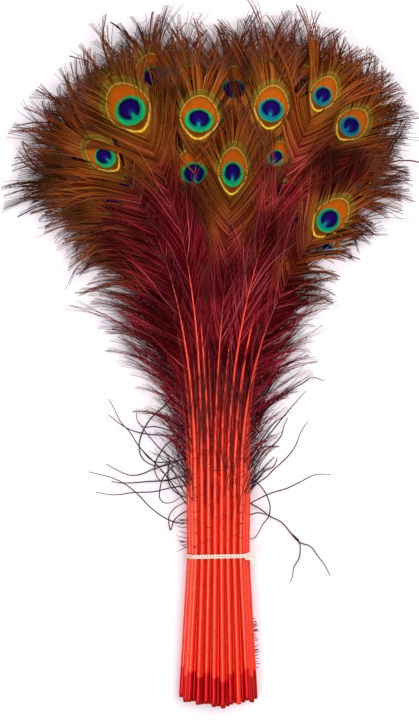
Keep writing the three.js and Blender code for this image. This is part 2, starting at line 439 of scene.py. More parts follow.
def finish_mesh(mesh, material, vertices, layers):
    """Gives a mesh its places in mm, its UV layers by corner, smooth faces and a material."""
    mesh.vertices.foreach_set("co", (vertices * MM).astype(np.float32).ravel())
    for name, values in layers.items():
        layer = mesh.uv_layers.get(name) or mesh.uv_layers.new(name=name)
        layer.data.foreach_set("uv", values.astype(np.float32).ravel())
    mesh.polygons.foreach_set("use_smooth", np.ones(len(mesh.polygons), bool))
    mesh.materials.append(bpy.data.materials[material])
    mesh.update()


def read_array(items, attribute, kind, width=1):
    values = np.empty(len(items) * width, kind)
    items.foreach_get(attribute, values)
    return values.reshape(-1, width) if width > 1 else values


def add_piece(name, mesh):
    piece = bpy.data.objects.new(name, mesh)
    bpy.context.scene.collection.objects.link(piece)
    return piece


def join_pieces(name, meshes):
    """One object from several meshes."""
    pieces = [add_piece(name, mesh) for mesh in meshes]
    deselect_all()
    for piece in pieces:
        piece.select_set(True)
    bpy.context.view_layer.objects.active = pieces[0]
    bpy.ops.object.join()
    return pieces[0]


def curve_through(points, steps):
    """A smooth line through a few points."""
    points = np.array(points, float)
    knots = run_lengths(points)
    slopes = np.gradient(points, knots, axis=0)
    s = np.linspace(0, knots[-1], steps)
    i = np.clip(np.searchsorted(knots, s, side="right") - 1, 0, len(points) - 2)
    h = (knots[i + 1] - knots[i])[:, None]
    u = ((s - knots[i])[:, None]) / h
    return (
        points[i] * (1 + 2 * u) * (1 - u) ** 2 + slopes[i] * h * u * (1 - u) ** 2
        + points[i + 1] * u * u * (3 - 2 * u) + slopes[i + 1] * h * u * u * (u - 1)
    )


# Materials

# Colours that the settings leave fixed: in the eye from its outside to its heart, then in the
# barbs, the quills, the stray barbs, the string and the floor
GOLDEN_STRAND = (0.20, 0.080, 0.008)
OLIVE_HALO = (0.15, 0.112, 0.010)
OUTER_LINE = (0.20, 0.15, 0.02)
BROWN_BASE = (0.12, 0.022, 0.002)
OLIVE_RUST = (0.17, 0.058, 0.005)
GREEN_LINE = (0.17, 0.13, 0.02)
BLUE_GREEN = (0.004, 0.10, 0.19)
GREEN_EDGE = (0.012, 0.12, 0.025)
HEART_RIM = (0.002, 0.022, 0.045)
HEART_EDGE = (0.002, 0.001, 0.014)
# A painted glint: the pale pink that a few of the lightest crimson strands are given
PAINTED_GLINT_STRAND = (0.32, 0.10, 0.10)
BARB_TIP = (0.080, 0.033, 0.023)
CUT_EDGE = (0.5, 0.001, 0.004)
DEEPER_DYE = (0.66, 0.002, 0.001)
LOWER_SHAFT = (0.34, 0.012, 0.014)
UPPER_SHAFT = (0.11, 0.026, 0.008)
HAIR_ROOT = (0.020, 0.004, 0.007)
HAIR_TIP = (0.038, 0.026, 0.034)
RED_HAIR = (0.10, 0.002, 0.003)
STRING_SHADE = (0.80, 0.72, 0.58)
FLOOR_COLOURS = ((0.95, 0.905, 0.94), (0.96, 0.89, 0.94))
QUILL_SHEEN = (1.0, 0.78, 0.42, 1.0)

# The parts of the eye as ellipses: the middle along the shaft, half the width, half the height
GOLD_RING = (1.5, 14.6, 17.2)
GREEN_RING = (-1.0, 11.0, 9.4)
HEART = (0.5, 7.1, 6.0)
NOTCH = (-5.3, 1.5, 2.9)

# How far each strand carries the pattern out or in, at the most, in mm
STRAND_JITTER = 0.55
# The ring's points at its base and its tip: how blunt they are and how steep
RING_BLUNTNESS = 6.0
BASE_POINT = 0.30
TIP_POINT = 0.12

# Streaks: how far apart two strands lie in the noise, how fine it is along them, its weight,
# the middle of all shades and the stops between the darkest and the lightest
STRAND_APART = 57.0
STREAK_FINENESS = 9.0
MOTTLE = 0.8
MIDDLE_SHADE = 0.95
STREAK_STOPS = 3.4

# Patches: how many to a metre, the darkest and the lightest, and where the eyes turn from
# greenish to bluish, as x + y in m
PATCHES_TO_A_METRE = 26.0
PATCH_SHADES = (0.55, 1.16)
BLUER_EYES = (0.28, 0.44)
EYE_HUES = (-0.35, 1.0)
# Where the barbs are darker and redder than about them: x, y and reach. What is left there of
# their light and of their brown
DUSKY_PLACES = ((-66, 256, 44), (94, 303, 40), (54, 252, 32))
DUSKY_HEIGHT_M = 0.02
DUSKY_LIGHT = 0.62
DUSKY_BROWN = 0.35
# Where along a feather crimson barbs give way to brown ones, and where its shaft turns crimson
# and then brown
BROWN_BARBS = (-78.0, -20.0)
CRIMSON_SHAFT = (-150.0, -95.0)
BROWN_SHAFT = (-90.0, -25.0)
# How far from its cut end a quill is soaked, and how much farther where it took more dye
SOAKED = (22.0, 19.0)
SOAKED_MORE = 5.0

SOCKET_KINDS = {
    "Colour": "NodeSocketColor", "Ground": "NodeSocketColor", "Place": "NodeSocketVector",
}


def by_math_node(operation):
    """A method of a wire that adds a math node."""
    return lambda wire, *others: wire.wiring.math(operation, wire, *others)


class Wire:
    """An output of a node, on which arithmetic adds the nodes that work it out."""

    def __init__(self, wiring, socket):
        self.wiring = wiring
        self.socket = socket

    __add__ = by_math_node("ADD")
    __sub__ = by_math_node("SUBTRACT")
    __mul__ = by_math_node("MULTIPLY")
    __truediv__ = by_math_node("DIVIDE")
    __pow__ = by_math_node("POWER")
    __abs__ = by_math_node("ABSOLUTE")


class Wiring:
    """Adds nodes to a tree and joins them, from left to right."""

    def __init__(self, tree):
        self.tree = tree

    def join(self, source, socket):
        """Joins a wire to a socket, or sets the socket to a plain value."""
        if isinstance(source, Wire):
            self.tree.links.new(source.socket, socket)
        elif hasattr(source, "__len__") and len(socket.default_value) == 4:
            socket.default_value = (*tuple(source)[:3], 1.0)
        else:
            socket.default_value = source

    def feed(self, node, sources):
        for key, source in sources.items():
            self.join(source, node.inputs[key])

    def node(self, kind, sources, **settings):
        order = len(self.tree.nodes)
        node = self.tree.nodes.new(kind)
        node.location = (order * 40, -(order % 7) * 160)
        for key, value in settings.items():
            setattr(node, key, value)
        self.feed(node, sources)
        return node

    def wire(self, kind, sources, output=0, **settings):
        """One output of a new node."""
        return Wire(self, self.node(kind, sources, **settings).outputs[output])

    def wires(self, node):
        return {output.name: Wire(self, output) for output in node.outputs}

    def math(self, operation, *values, clamp=False):
        sources = dict(enumerate(values))
        return self.wire("ShaderNodeMath", sources, operation=operation, use_clamp=clamp)

    def ramp(self, value, low, high, start=0.0, end=1.0):
        """A smooth step: start where the value is low, end where it is high."""
        sources = {
            "Value": value, "From Min": low, "From Max": high, "To Min": start, "To Max": end,
        }
        return self.wire("ShaderNodeMapRange", sources, interpolation_type="SMOOTHSTEP")

    def mix(self, factor, first, second):
        sources = {"Factor": factor, 6: first, 7: second}
        return self.wire("ShaderNodeMix", sources, 2, data_type="RGBA")

    def noise(self, vector, scale, detail=2.0):
        sources = {"Vector": vector, "Scale": scale, "Detail": detail}
        return self.wire("ShaderNodeTexNoise", sources)

    def times(self, colour, factor):
        sources = {0: colour, "Scale": factor}
        return self.wire("ShaderNodeVectorMath", sources, operation="SCALE")

    def place(self):
        return self.wire("ShaderNodeTexCoord", {}, "Object")

    def uv(self, layer):
        """The two values of a UV layer."""
        pair = self.wire("ShaderNodeUVMap", {}, uv_map=layer)
        parts = self.wires(self.node("ShaderNodeSeparateXYZ", {0: pair}))
        return parts["X"], parts["Y"]

    def group(self, tree, **sources):
        """The outputs of a node group, by name."""
        given = {title.capitalize(): source for title, source in sources.items()}
        return self.wires(self.node("ShaderNodeGroup", given, node_tree=tree))

    def bump(self, height, strength, distance):
        sources = {"Strength": strength, "Distance": distance, "Height": height}
        return self.wire("ShaderNodeBump", sources)


def new_group(name, inputs, outputs):
    """A node group with named sockets: its tree, its wiring, what it is given, its result."""
    tree = bpy.data.node_groups.new(name, "ShaderNodeTree")
    for in_out, titles in (("INPUT", inputs), ("OUTPUT", outputs)):
        for title in titles:
            kind = SOCKET_KINDS.get(title, "NodeSocketFloat")
            tree.interface.new_socket(name=title, in_out=in_out, socket_type=kind)
    w = Wiring(tree)
    given = w.wires(w.node("NodeGroupInput", {}))
    return tree, w, given, w.node("NodeGroupOutput", {})


def new_material(name, specular):
    material = bpy.data.materials.new(name)
    material.use_nodes = True
    shader = material.node_tree.nodes["Principled BSDF"]
    shader.inputs["Specular IOR Level"].default_value = specular
    return Wiring(material.node_tree), shader


def ellipse(w, x, y, centre_y, half_width, half_height):
    """1 on the edge of an ellipse on the middle line, less inside."""
    across = x / half_width
    along = (y - centre_y) / half_height
    return w.math("SQRT", across * across + along * along)


def eye_group(colours):
    """Colour and gloss of the eye, from the place on the feather in mm."""
    tree, w, given, result = new_group(
        "Feather eye", ("Across", "Along", "Hue", "Strand", "Ground"), ("Colour", "Gloss"),
    )
    # Each strand carries the pattern a little farther out or in than the next
    strand = given["Strand"]
    x, y = given["Across"], given["Along"] + (strand - 0.5) * STRAND_JITTER
    # The ring runs down to a point at its base and up to a blunt one at its tip
    wide = w.math("SQRT", x * x + RING_BLUNTNESS) - 2.4
    at_base = w.ramp(y, 0.0, -12.0)
    at_tip = w.ramp(y, -5.0, 7.0)
    y_ring = y - wide * BASE_POINT * at_base + wide * TIP_POINT * at_tip
    ring = ellipse(w, x, y_ring, *GOLD_RING)
    green = ellipse(w, x, y, *GREEN_RING)
    heart = ellipse(w, x, y, *HEART)
    notch = ellipse(w, x, y, *NOTCH)

    # Golden strands all round, and an olive halo beyond the tip side of the ring
    glow = w.ramp(ring, 2.3, 1.1) * w.ramp(strand, 0.2, 0.9, 0.0, 0.42)
    colour = w.mix(glow, given["Ground"], GOLDEN_STRAND)
    sides = w.ramp(at_tip, 0.0, 1.0, 0.15, 1.0)
    halo = w.ramp(ring, 1.38, 1.08) * sides * w.ramp(strand, 0.1, 0.9, 0.30, 0.75)
    colour = w.mix(halo, colour, OLIVE_HALO)
    thin = w.ramp(ring, 1.36, 1.28) * w.ramp(ring, 1.18, 1.26)
    thin = thin * (sides * w.ramp(strand, 0.3, 0.9, 0.0, 0.7))
    colour = w.mix(thin, colour, OUTER_LINE)
    # Rust field inside the ring, olive where it meets the ring, brown at the base
    field = w.mix(w.ramp(y, -6.0, 5.0), BROWN_BASE, colours.rust)
    field = w.mix(w.ramp(ring, 0.72, 1.0) * 0.8, field, OLIVE_RUST)
    colour = w.mix(w.ramp(ring, 1.03, 0.96), colour, field)
    # Gold ring, brightest and widest at its base
    gold_width = at_base * 0.024 + 0.024
    band = w.ramp(abs(ring - 1.0) / gold_width, 1.3, 0.5) * w.ramp(strand, 0.1, 0.7, 0.75, 0.95)
    base_light = at_base * w.ramp(wide, 8.0, 1.5)
    colour = w.mix(band, colour, w.mix(base_light, colours.gold, colours.bright_gold))
    # A thin light line where the green ends on the tip side
    line = w.ramp(green, 1.14, 1.05) * at_tip * 0.7
    colour = w.mix(line, colour, GREEN_LINE)
    # Green ring, turquoise and then dark about the heart, bluer in some feathers
    in_green = w.ramp(green, 1.04, 0.95)
    hue = w.math("ADD", w.ramp(green, 0.94, 0.68), given["Hue"] * 0.8, clamp=True)
    fresh = w.mix(hue, colours.green, colours.turquoise)
    fresh = w.mix(given["Hue"] * w.ramp(green, 1.0, 0.8), fresh, BLUE_GREEN)
    fresh = w.mix(w.ramp(green, 0.92, 1.02), fresh, GREEN_EDGE)
    rim = w.ramp(heart, 1.26, 1.04) * w.ramp(notch, 1.0, 1.5)
    colour = w.mix(in_green, colour, w.mix(rim, fresh, HEART_RIM))
    # The heart: nearly black at its edge, blue about the notch in its base
    in_heart = w.ramp(heart, 1.08, 0.94) * w.ramp(notch, 0.8, 1.15)
    near_notch = w.ramp(notch, 2.4, 1.0) * w.ramp(strand, 0.0, 1.0, 0.3, 0.9)
    lit = w.mix(near_notch, colours.heart, colours.blue)
    lit = w.mix(w.ramp(heart, 0.60, 0.98, 0.0, 0.9), lit, HEART_EDGE)
    w.feed(result, {"Colour": w.mix(in_heart, colour, lit), "Gloss": in_green})
    return tree


def streak_group():
    """Lightens and darkens strand by strand, with a fine mottle along each."""
    tree, w, given, result = new_group(
        "Strand streaks", ("Colour", "Strand", "Along", "Depth"), ("Colour", "Height"),
    )
    strand, along = given["Strand"], given["Along"]
    sources = {0: strand * STRAND_APART, 1: along * STREAK_FINENESS}
    mottle = w.noise(w.wire("ShaderNodeCombineXYZ", sources), 3.0)
    stops = (strand + mottle * MOTTLE - MIDDLE_SHADE) * given["Depth"]
    gain = w.math("POWER", 2.0, stops * STREAK_STOPS)
    w.feed(result, {"Colour": w.times(given["Colour"], gain), "Height": mottle})
    return tree


def patch_group():
    """Soft patches over the bundle, a few cm wide, from the place in it."""
    tree, w, given, result = new_group("Soft patches", ("Place",), ("Shade", "Hue", "Dusk"))
    place = given["Place"]
    dusk = 0.0
    for x, y, reach in DUSKY_PLACES:
        sources = {0: place, 1: (x * MM, y * MM, DUSKY_HEIGHT_M)}
        away = w.wire("ShaderNodeVectorMath", sources, "Value", operation="DISTANCE")
        dusk = w.math("MAXIMUM", w.ramp(away, reach * MM, 0.4 * reach * MM), dusk)
    cloud = w.noise(place, PATCHES_TO_A_METRE, detail=1.0)
    shade = w.ramp(cloud, 0.34, 0.60, *PATCH_SHADES) * w.ramp(dusk, 0.0, 1.0, 1.0, DUSKY_LIGHT)
    # The eyes at the upper right are bluer than the others, those at the lower left greener
    parts = w.wires(w.node("ShaderNodeSeparateXYZ", {0: place}))
    hue = w.ramp(parts["X"] + parts["Y"], *BLUER_EYES, *EYE_HUES)
    w.feed(result, {"Shade": shade, "Hue": hue, "Dusk": dusk})
    return tree


def barb_material(dye, eye, streaks, patches):
    w, shader = new_material("Dyed barbs", 0.0)
    across, along = w.uv("Place")
    strand, root_to_tip = w.uv("Strand")
    red, tone_and_row_shade = w.uv("Feather")
    patch = w.group(patches, place=w.place())
    # Crimson from the quill up, golden or red brown about the eye, with light and dark strands
    brown = w.ramp(along + abs(across) * 0.8, *BROWN_BARBS)
    brown = brown * w.ramp(patch["Dusk"], 0.0, 1.0, 1.0, DUSKY_BROWN)
    light = w.mix(brown, dye.crimson, w.mix(red, dye.bronze, dye.red_brown))
    deep = w.mix(brown, dye.deep_crimson, w.mix(red, dye.deep_bronze, dye.deep_red_brown))
    colour = w.mix(w.ramp(strand, 0.1, 0.95) ** 1.4, deep, light)
    # Here and there a strand painted pale among the crimson ones: a painted glint, standing for
    # the sheen along a barb
    painted_glint = w.ramp(strand, 0.86, 0.96) * w.ramp(brown, 0.0, 1.0, 0.55, 0.1)
    colour = w.mix(painted_glint, colour, PAINTED_GLINT_STRAND)
    # Tips fade to a dusky brown
    colour = w.mix(w.ramp(root_to_tip, 0.72, 1.0) * 0.65, colour, BARB_TIP)
    colour = w.times(colour, patch["Shade"])
    shaded = w.group(streaks, colour=colour, strand=strand, along=root_to_tip, depth=0.36)
    seen = w.group(eye, across=across, along=along, hue=patch["Hue"], strand=strand,
                   ground=shaded["Colour"])
    # The tone holds the lower rows' painted shade, and darkens the eye as well as the barbs
    with_tone_and_shade = w.times(seen["Colour"], tone_and_row_shade)
    fine = w.group(streaks, colour=with_tone_and_shade, strand=strand, along=root_to_tip, depth=0.12)
    w.feed(shader, {
        "Base Color": fine["Colour"],
        "Roughness": w.ramp(seen["Gloss"], 0.0, 1.0, 0.62, 0.4),
        "Metallic": seen["Gloss"] * 0.1,
        "Normal": w.bump(fine["Height"], 0.25, 0.0002),
    })


def quill_material(dye, streaks):
    w, shader = new_material("Dyed quill", 1.0)
    _, along = w.uv("Place")
    around, _ = w.uv("Strand")
    tint, from_end = w.uv("Feather")
    soak = w.ramp(from_end - tint * SOAKED_MORE, *SOAKED)
    colour = w.mix(soak, dye.quill, dye.quill_end)
    colour = w.mix(w.ramp(from_end, 4.0, 0.0), colour, CUT_EDGE)
    colour = w.mix(w.ramp(tint, 0.4, 1.0) * 0.5, colour, DEEPER_DYE)
    colour = w.mix(w.ramp(along, *CRIMSON_SHAFT), colour, LOWER_SHAFT)
    colour = w.mix(w.ramp(along, *BROWN_SHAFT), colour, UPPER_SHAFT)
    shaded = w.group(streaks, colour=colour, strand=around, along=from_end * 0.012, depth=0.12)
    w.feed(shader, {
        "Base Color": shaded["Colour"],
        "Metallic": soak * 0.8,
        "Roughness": w.ramp(shaded["Height"], 0.3, 0.7, 0.22, 0.32),
        "Specular Tint": QUILL_SHEEN,
        "Normal": w.bump(shaded["Height"], 0.2, 0.0003),
    })


def hair_material(streaks):
    w, shader = new_material("Stray barbs", 0.1)
    strand, root_to_tip = w.uv("Strand")
    red, _ = w.uv("Feather")
    colour = w.mix(red, w.mix(root_to_tip, HAIR_ROOT, HAIR_TIP), RED_HAIR)
    shaded = w.group(streaks, colour=colour, strand=strand, along=root_to_tip, depth=0.5)
    roughness = w.ramp(strand, 0.0, 1.0, 0.5, 0.7)
    w.feed(shader, {"Base Color": shaded["Colour"], "Roughness": roughness})


def string_material(tie, streaks):
    w, shader = new_material("Cream string", 0.2)
    fibre, along = w.uv("Strand")
    colour = w.mix(w.ramp(fibre, 0.2, 0.9), tie.colour, STRING_SHADE)
    shaded = w.group(streaks, colour=colour, strand=fibre, along=along * 4.0, depth=0.12)
    w.feed(shader, {
        "Base Color": shaded["Colour"],
        "Roughness": w.ramp(shaded["Height"], 0.2, 0.8, 0.7, 0.9),
        "Normal": w.bump(shaded["Height"], 0.5, 0.0002),
    })


def floor_material():
    w, shader = new_material("Pale floor", 0.1)
    cloud = w.ramp(w.noise(w.place(), 5.0), 0.35, 0.75)
    w.feed(shader, {"Base Color": w.mix(cloud, *FLOOR_COLOURS), "Roughness": 0.8})


class PEACOCK_OT_finishes(bpy.types.Operator):
    """Make the finishes of the quills, barbs, stray barbs, string and floor"""

    bl_idname = "peacock.finishes"
    bl_label = "Finishes"

    def execute(self, context):
        scene = context.scene
        streaks = streak_group()
        barb_material(scene.peacock_dye, eye_group(scene.peacock_eye), streaks, patch_group())
        quill_material(scene.peacock_dye, streaks)
        hair_material(streaks)
        string_material(scene.peacock_tie, streaks)
        floor_material()
        return {"FINISHED"}


# Quills

# Where the plain quill has its rings, in mm from its cut end. The shaft's rings follow.
QUILL_RINGS = (0.0, 0.5, 1.4, 3.0, 7.0, 13.0, 30.0, 60.0, 90.0, 112.0, 125.0, 142.0, 160.0, 187.0)
QUILL_LENGTH = QUILL_RINGS[-1]
END_LENGTH = 13.0
SHAFT_RINGS = 22
SHAFT_RING_GAP = 10.0
QUILL_SIDES = 10
QUILL_WALL = 0.3
HOLLOW_DEPTH = 3.0
SHAFT_END = -7.5
SHAFT_TIP_RADIUS = 0.22
SHAFT_TAPER = 2.2
# How much thinner than its solid a quill is, below how many mm under the first barbs it is
# full, and how far up and how much its cut end is blunted
QUILL_SKIN = 0.05
THICKENING = 40
BLUNT_LENGTH = 3.0
BLUNT_SHARE = 0.16
# From where on the shaft sinks towards the eye's barbs, and how far
SINK_START = -30
SINK = 0.5
# The one whose cut end the dark dye missed, by row and place
UNDIPPED_QUILL = (4, 6)
BEYOND_THE_DYE = 30
# The parts of the bake's map, left to right: the quill, the barbs and the stray barbs, each
# from its root upwards
QUILL_BAKE = (0.003, 0.053)
BARB_BAKE = (0.07, 0.94)
HAIR_BAKE = (0.95, 0.995)
BAKE_HEIGHT = (0.01, 0.99)


def straight_quill():
    """One straight quill along +Y with a radius of 1 mm, its cut end hollow and its tip shut."""
    deselect_all()
    bpy.ops.mesh.primitive_circle_add(
        vertices=QUILL_SIDES, radius=1.0 * MM, fill_type="NOTHING",
        rotation=(math.radians(90), 0, 0),
    )
    quill = bpy.context.object
    quill.name = "straight_quill"
    bpy.ops.object.transform_apply(location=True, rotation=True, scale=True)
    bpy.ops.object.mode_set(mode="EDIT")
    bpy.ops.mesh.select_mode(type="VERT")
    bpy.ops.mesh.select_all(action="SELECT")
    steps = list(np.diff(QUILL_RINGS)) + [SHAFT_RING_GAP] * SHAFT_RINGS
    for step in steps:
        bpy.ops.mesh.extrude_region_move(
            TRANSFORM_OT_translate={"value": (0, float(step) * MM, 0)}
        )
    bpy.ops.mesh.edge_face_add()
    bpy.ops.mesh.select_all(action="DESELECT")
    bpy.ops.object.mode_set(mode="OBJECT")
    for vertex in quill.data.vertices:
        vertex.select = abs(vertex.co.y) < 1e-6
    bpy.ops.object.mode_set(mode="EDIT")
    bpy.ops.mesh.edge_face_add()
    bpy.ops.mesh.inset(thickness=QUILL_WALL * MM, depth=0)
    bpy.ops.mesh.extrude_region_move(TRANSFORM_OT_translate={"value": (0, HOLLOW_DEPTH * MM, 0)})
    bpy.ops.mesh.select_all(action="SELECT")
    bpy.ops.mesh.normals_make_consistent(inside=False)
    bpy.ops.mesh.select_all(action="DESELECT")
    bpy.ops.object.mode_set(mode="OBJECT")
    return quill


def quill_radius(line, q, from_end):
    """Blunt at the cut end, full to the first barbs, then ever thinner to the eye."""
    back = np.clip((SHAFT_END - q) / (line.length + SHAFT_END), 0, 1)
    shaft = between((SHAFT_TIP_RADIUS, VANE_START_RADIUS), back**SHAFT_TAPER)
    below_barbs = np.clip((-q - line.length) / THICKENING, 0, 1)
    radius = shaft + (QUILL_RADIUS - QUILL_SKIN - VANE_START_RADIUS) * below_barbs
    return radius * (1 - BLUNT_SHARE * (1 - np.clip(from_end / BLUNT_LENGTH, 0, 1)) ** 2)


def bend_quill(template, line):
    """A copy of the straight quill laid on one feather's line, as a mesh with its layers."""
    mesh = template.data.copy()
    co = read_array(mesh.vertices, "co", np.float32, 3) / MM
    y = co[:, 1]
    bare = -line.length - line.quill_end
    shaft_length = line.length + SHAFT_END
    rest = np.clip((y - END_LENGTH) / (QUILL_LENGTH - END_LENGTH), 0, 1) * (bare - END_LENGTH)
    on_shaft = np.clip(y - QUILL_LENGTH, 0, None) / (SHAFT_RINGS * SHAFT_RING_GAP)
    from_end = np.clip(y, 0, END_LENGTH) + rest + on_shaft * shaft_length
    q = line.quill_end + from_end
    radius = quill_radius(line, q, from_end)
    sunk = SINK * smooth_step(q, SINK_START, SHAFT_END)
    world = line.to_world(co[:, 0] * radius, q, co[:, 2] * radius - sunk)
    loops = read_array(mesh.loops, "vertex_index", np.int32)
    # The share of the way round, with its seam underneath and just beside a row of vertices
    share = (np.arctan2(co[:, 2], co[:, 0]) / (2 * math.pi) + 0.25 + 1e-4)[loops] % 1.0
    starts = read_array(mesh.polygons, "loop_start", np.int32)
    totals = read_array(mesh.polygons, "loop_total", np.int32)
    for start, total in zip(starts, totals):
        part = share[start : start + total]
        if total == 4 and part.max() - part.min() > 0.5:
            part[part < 0.5] += 1.0
    up = from_end[loops] / from_end.max()
    undipped = BEYOND_THE_DYE if (line.row, line.i) == UNDIPPED_QUILL else 0
    tint = np.full(len(loops), even_share(line.number, 5))
    finish_mesh(mesh, "Dyed quill", world, {
        "OFBake": np.stack([between(QUILL_BAKE, share), between(BAKE_HEIGHT, up)], -1),
        "Place": np.stack([0 * share, q[loops]], -1),
        "Strand": np.stack([share, up], -1),
        "Feather": np.stack([tint, from_end[loops] + undipped], -1),
    })
    return mesh


# Barbs

# The barbs about the eye leave the last stretch of the shaft and turn from nearly level to
# nearly upright, in degrees, to meet the rim of the head
HEAD_START = -54.0
HEAD_END = 6.0
HEAD_TURN = (86, 6)
HEAD_FORWARD = 63.0
HEAD_HALF_WIDTH = 43.0
HEAD_BLEND = 10.0
FAN_BARBS = 16
# How far forward and out the loose barbs below them reach, the lowest and the highest
LOOSE_END = -76.0
LOOSE_AHEAD = (30, 62)
LOOSE_WIDE = (16, 46)
# Where the first barbs stand past the end of the straight quill and how far on they stand
# close: as a rule, on the outside of the bundle, and in the two upper rows, less evenly
FULL_AFTER = 96
OUTSIDE_START = -24
OUTSIDE_FULL_AFTER = 110
UPPER_STARTS = {3: 16, 4: 44}
UPPER_START_SPREAD = 52
UPPER_FULL_AFTER = 84
FIRST_FEW = 14
# How much farther apart hidden barbs stand, and the share of the outside ones that is there
HIDDEN_GAP = 1.3
OUTSIDE_SHARE = 0.74
BASE_JITTER = 0.12
# How many barbs cling in a lock and how many at a time share a shade, from and to below
LOCK_SIZES = (5, 12)
SHADE_RUNS = (1, 4)
# How much of its shade a barb shares with them, and how far the locks differ in redness
SHARED_SHADE = 0.6
TINT_BY_LOCK = 0.5
# The shares of locks that stand out as wisps, inside and outside, that are long where they
# make the edge of the bundle, and that fall short, with how much shorter they are
WISP_SHARES = (0.06, 0.16)
LONG_SHARE = 0.42
SHORT_SHARE = 0.14
SHORTER = 0.16
# How unevenly the locks reach, how much less than its lock a barb may, the share of its reach
# that a barb inside the bundle keeps, and the limits
UNEVEN_REACH = 0.06
BARB_SHORTER = 0.2
INSIDE_REACH = 0.9
REACH_LIMITS = (0.62, 1.1)
WISP_REACH = (1.1, 1.4)
# The first barbs have this share of their reach, and it rises over the first stretch
FIRST_REACH = 0.55
REACH_RISE = 70
# Loose barbs inside the bundle lie close. How much locks splay, and how much more loose ones
SQUEEZE = 0.55
SPLAY = 0.035
LOOSE_SPLAY = 0.2
SPLAY_LIMITS = (0.5, 1.5)
# The middle of a barb's arc, as shares of its reach, out and forward, and more in the fan
MIDDLE_OUT = 0.60
MIDDLE_AHEAD = 0.34
FAN_MIDDLE_AHEAD = 0.1
# The curl of the tips, its spread by lock and by barb, and how strongly some of them curl
CURL = 0.9
CURL_BY_LOCK = 0.6
CURL_BY_BARB = 0.3
WISP_CURL = 1.5
LONG_CURL = 1.7
CURL_LIMITS = (-2.4, 1.2)
CURL_DEPTH = 0.13
# How fast barbs wave along their length, how far, and how much less about the eye
WAVE_RATES = (3, 8)
WAVE_DEPTH = 0.03
CALMER_HEAD = 0.024
# How closely barbs keep to the middle one of their lock, from which share of their length on
LONG_PULL = 0.95
PULL = 0.75
PULL_BY_LOCK = 0.18
LONG_PULL_START = 0.30
PULL_START = 0.55
PULL_STRETCH = 0.45
# How unevenly barbs end at the bundle's edge, by lock and by barb, and inside it
EDGE_BY_LOCK = 5.0
EDGE_BY_BARB = 0.8
INSIDE_BY_BARB = 3.0
# What a barb of the bundle's edge spares of the edge, at the most and from where on, and what
# a long one does
SPARE = 14
SPARE_START = -18
LONG_SPARE = 21
LONG_SPARE_START = -8
WISP_SPARE = (2, 9)
PLUME_FROM_Y = 370
# Barbs are broad about the eye, in an ellipse of these half sizes, and none is shorter than
# this share
BROAD_HALF_WIDTH = 19
BROAD_HALF_HEIGHT = 23
SHORTEST = 0.12
# How far their tips lie over one another, by strand and by barb, how much more where they are
# loose and how much of that is lost about the eye, and how high over the shaft they start
LIFT_BY_STRAND = 2.4
LIFT_BY_BARB = 0.5
LOOSE_LIFT = 2.0
CLOSER_HEAD = 1.5
START_HEIGHT = 0.5
# How far they are turned from lying flat, in radians, and the share that is lost about the eye
ROLL = 0.5
FLATTER_HEAD = 0.6
# The width of a wisp against another barb's, and how much broader barbs are about the eye
WISP_WIDTH = 0.7
BROADER = 0.5
# The width at the root and how fast it fills, how much of it is lost at the tip, and from where
ROOT_WIDTH = 0.4
FILLING = 2.5
THINNER = 0.72
LONG_THINNER = 0.55
THINNER_FROM = 0.6
# From where to where outwards the barbs droop, how far, and the lowest that any lies
DROOP_WIDTHS = (25, 60)
DROOP = 1.6
LOWEST_Z = 0.2
# Over which stretch of the shaft the pattern of the barbs takes the size of the eye
EYE_SCALED = (-60, -22)


def barb_plan(bases, line):
    """How far forward and how far out the barb from each base reaches."""
    v = np.sqrt(np.clip((bases + line.length) / (line.length + LOOSE_END), 0, 1))
    h = np.clip((bases - HEAD_START) / (HEAD_END - HEAD_START), 0, 1)
    turn = np.radians(between(HEAD_TURN, h))
    head_ahead = HEAD_FORWARD * np.cos(turn) - bases
    head_wide = HEAD_HALF_WIDTH * np.sin(turn)
    blend = smooth_step(bases, LOOSE_END, HEAD_START)
    ahead = between((between(LOOSE_AHEAD, v), head_ahead), blend)
    return ahead, between((between(LOOSE_WIDE, v), head_wide), blend)


def first_share(value, shares):
    """The first share along each line at which its value rises over 0, or 1."""
    over = value > 0
    index = np.argmax(over, axis=1)
    before = np.clip(index - 1, 0, None)
    rows = np.arange(len(value))
    low, high = value[rows, before], value[rows, index]
    rise = np.where(high == low, 1.0, high - low)
    part = np.where(index > 0, np.clip(-low / rise, 0, 1), 0)
    found = between((shares[before], shares[index]), part)
    return np.where(over.any(axis=1), found, 1.0)


def beyond_outline(x, y):
    """How far a place lies outside the thick of the bundle."""
    side_y, left_x, right_x = zip(*SIDES)
    crown_x, crown_y = zip(*CROWN)
    left = np.interp(y, side_y, left_x)
    right = np.interp(y, side_y, right_x)
    top = np.interp(x, crown_x, crown_y)
    return np.maximum(np.maximum(left - x, x - right), y - top)


def column(values):
    """One value for each barb, set against the places along it."""
    return values[:, None]


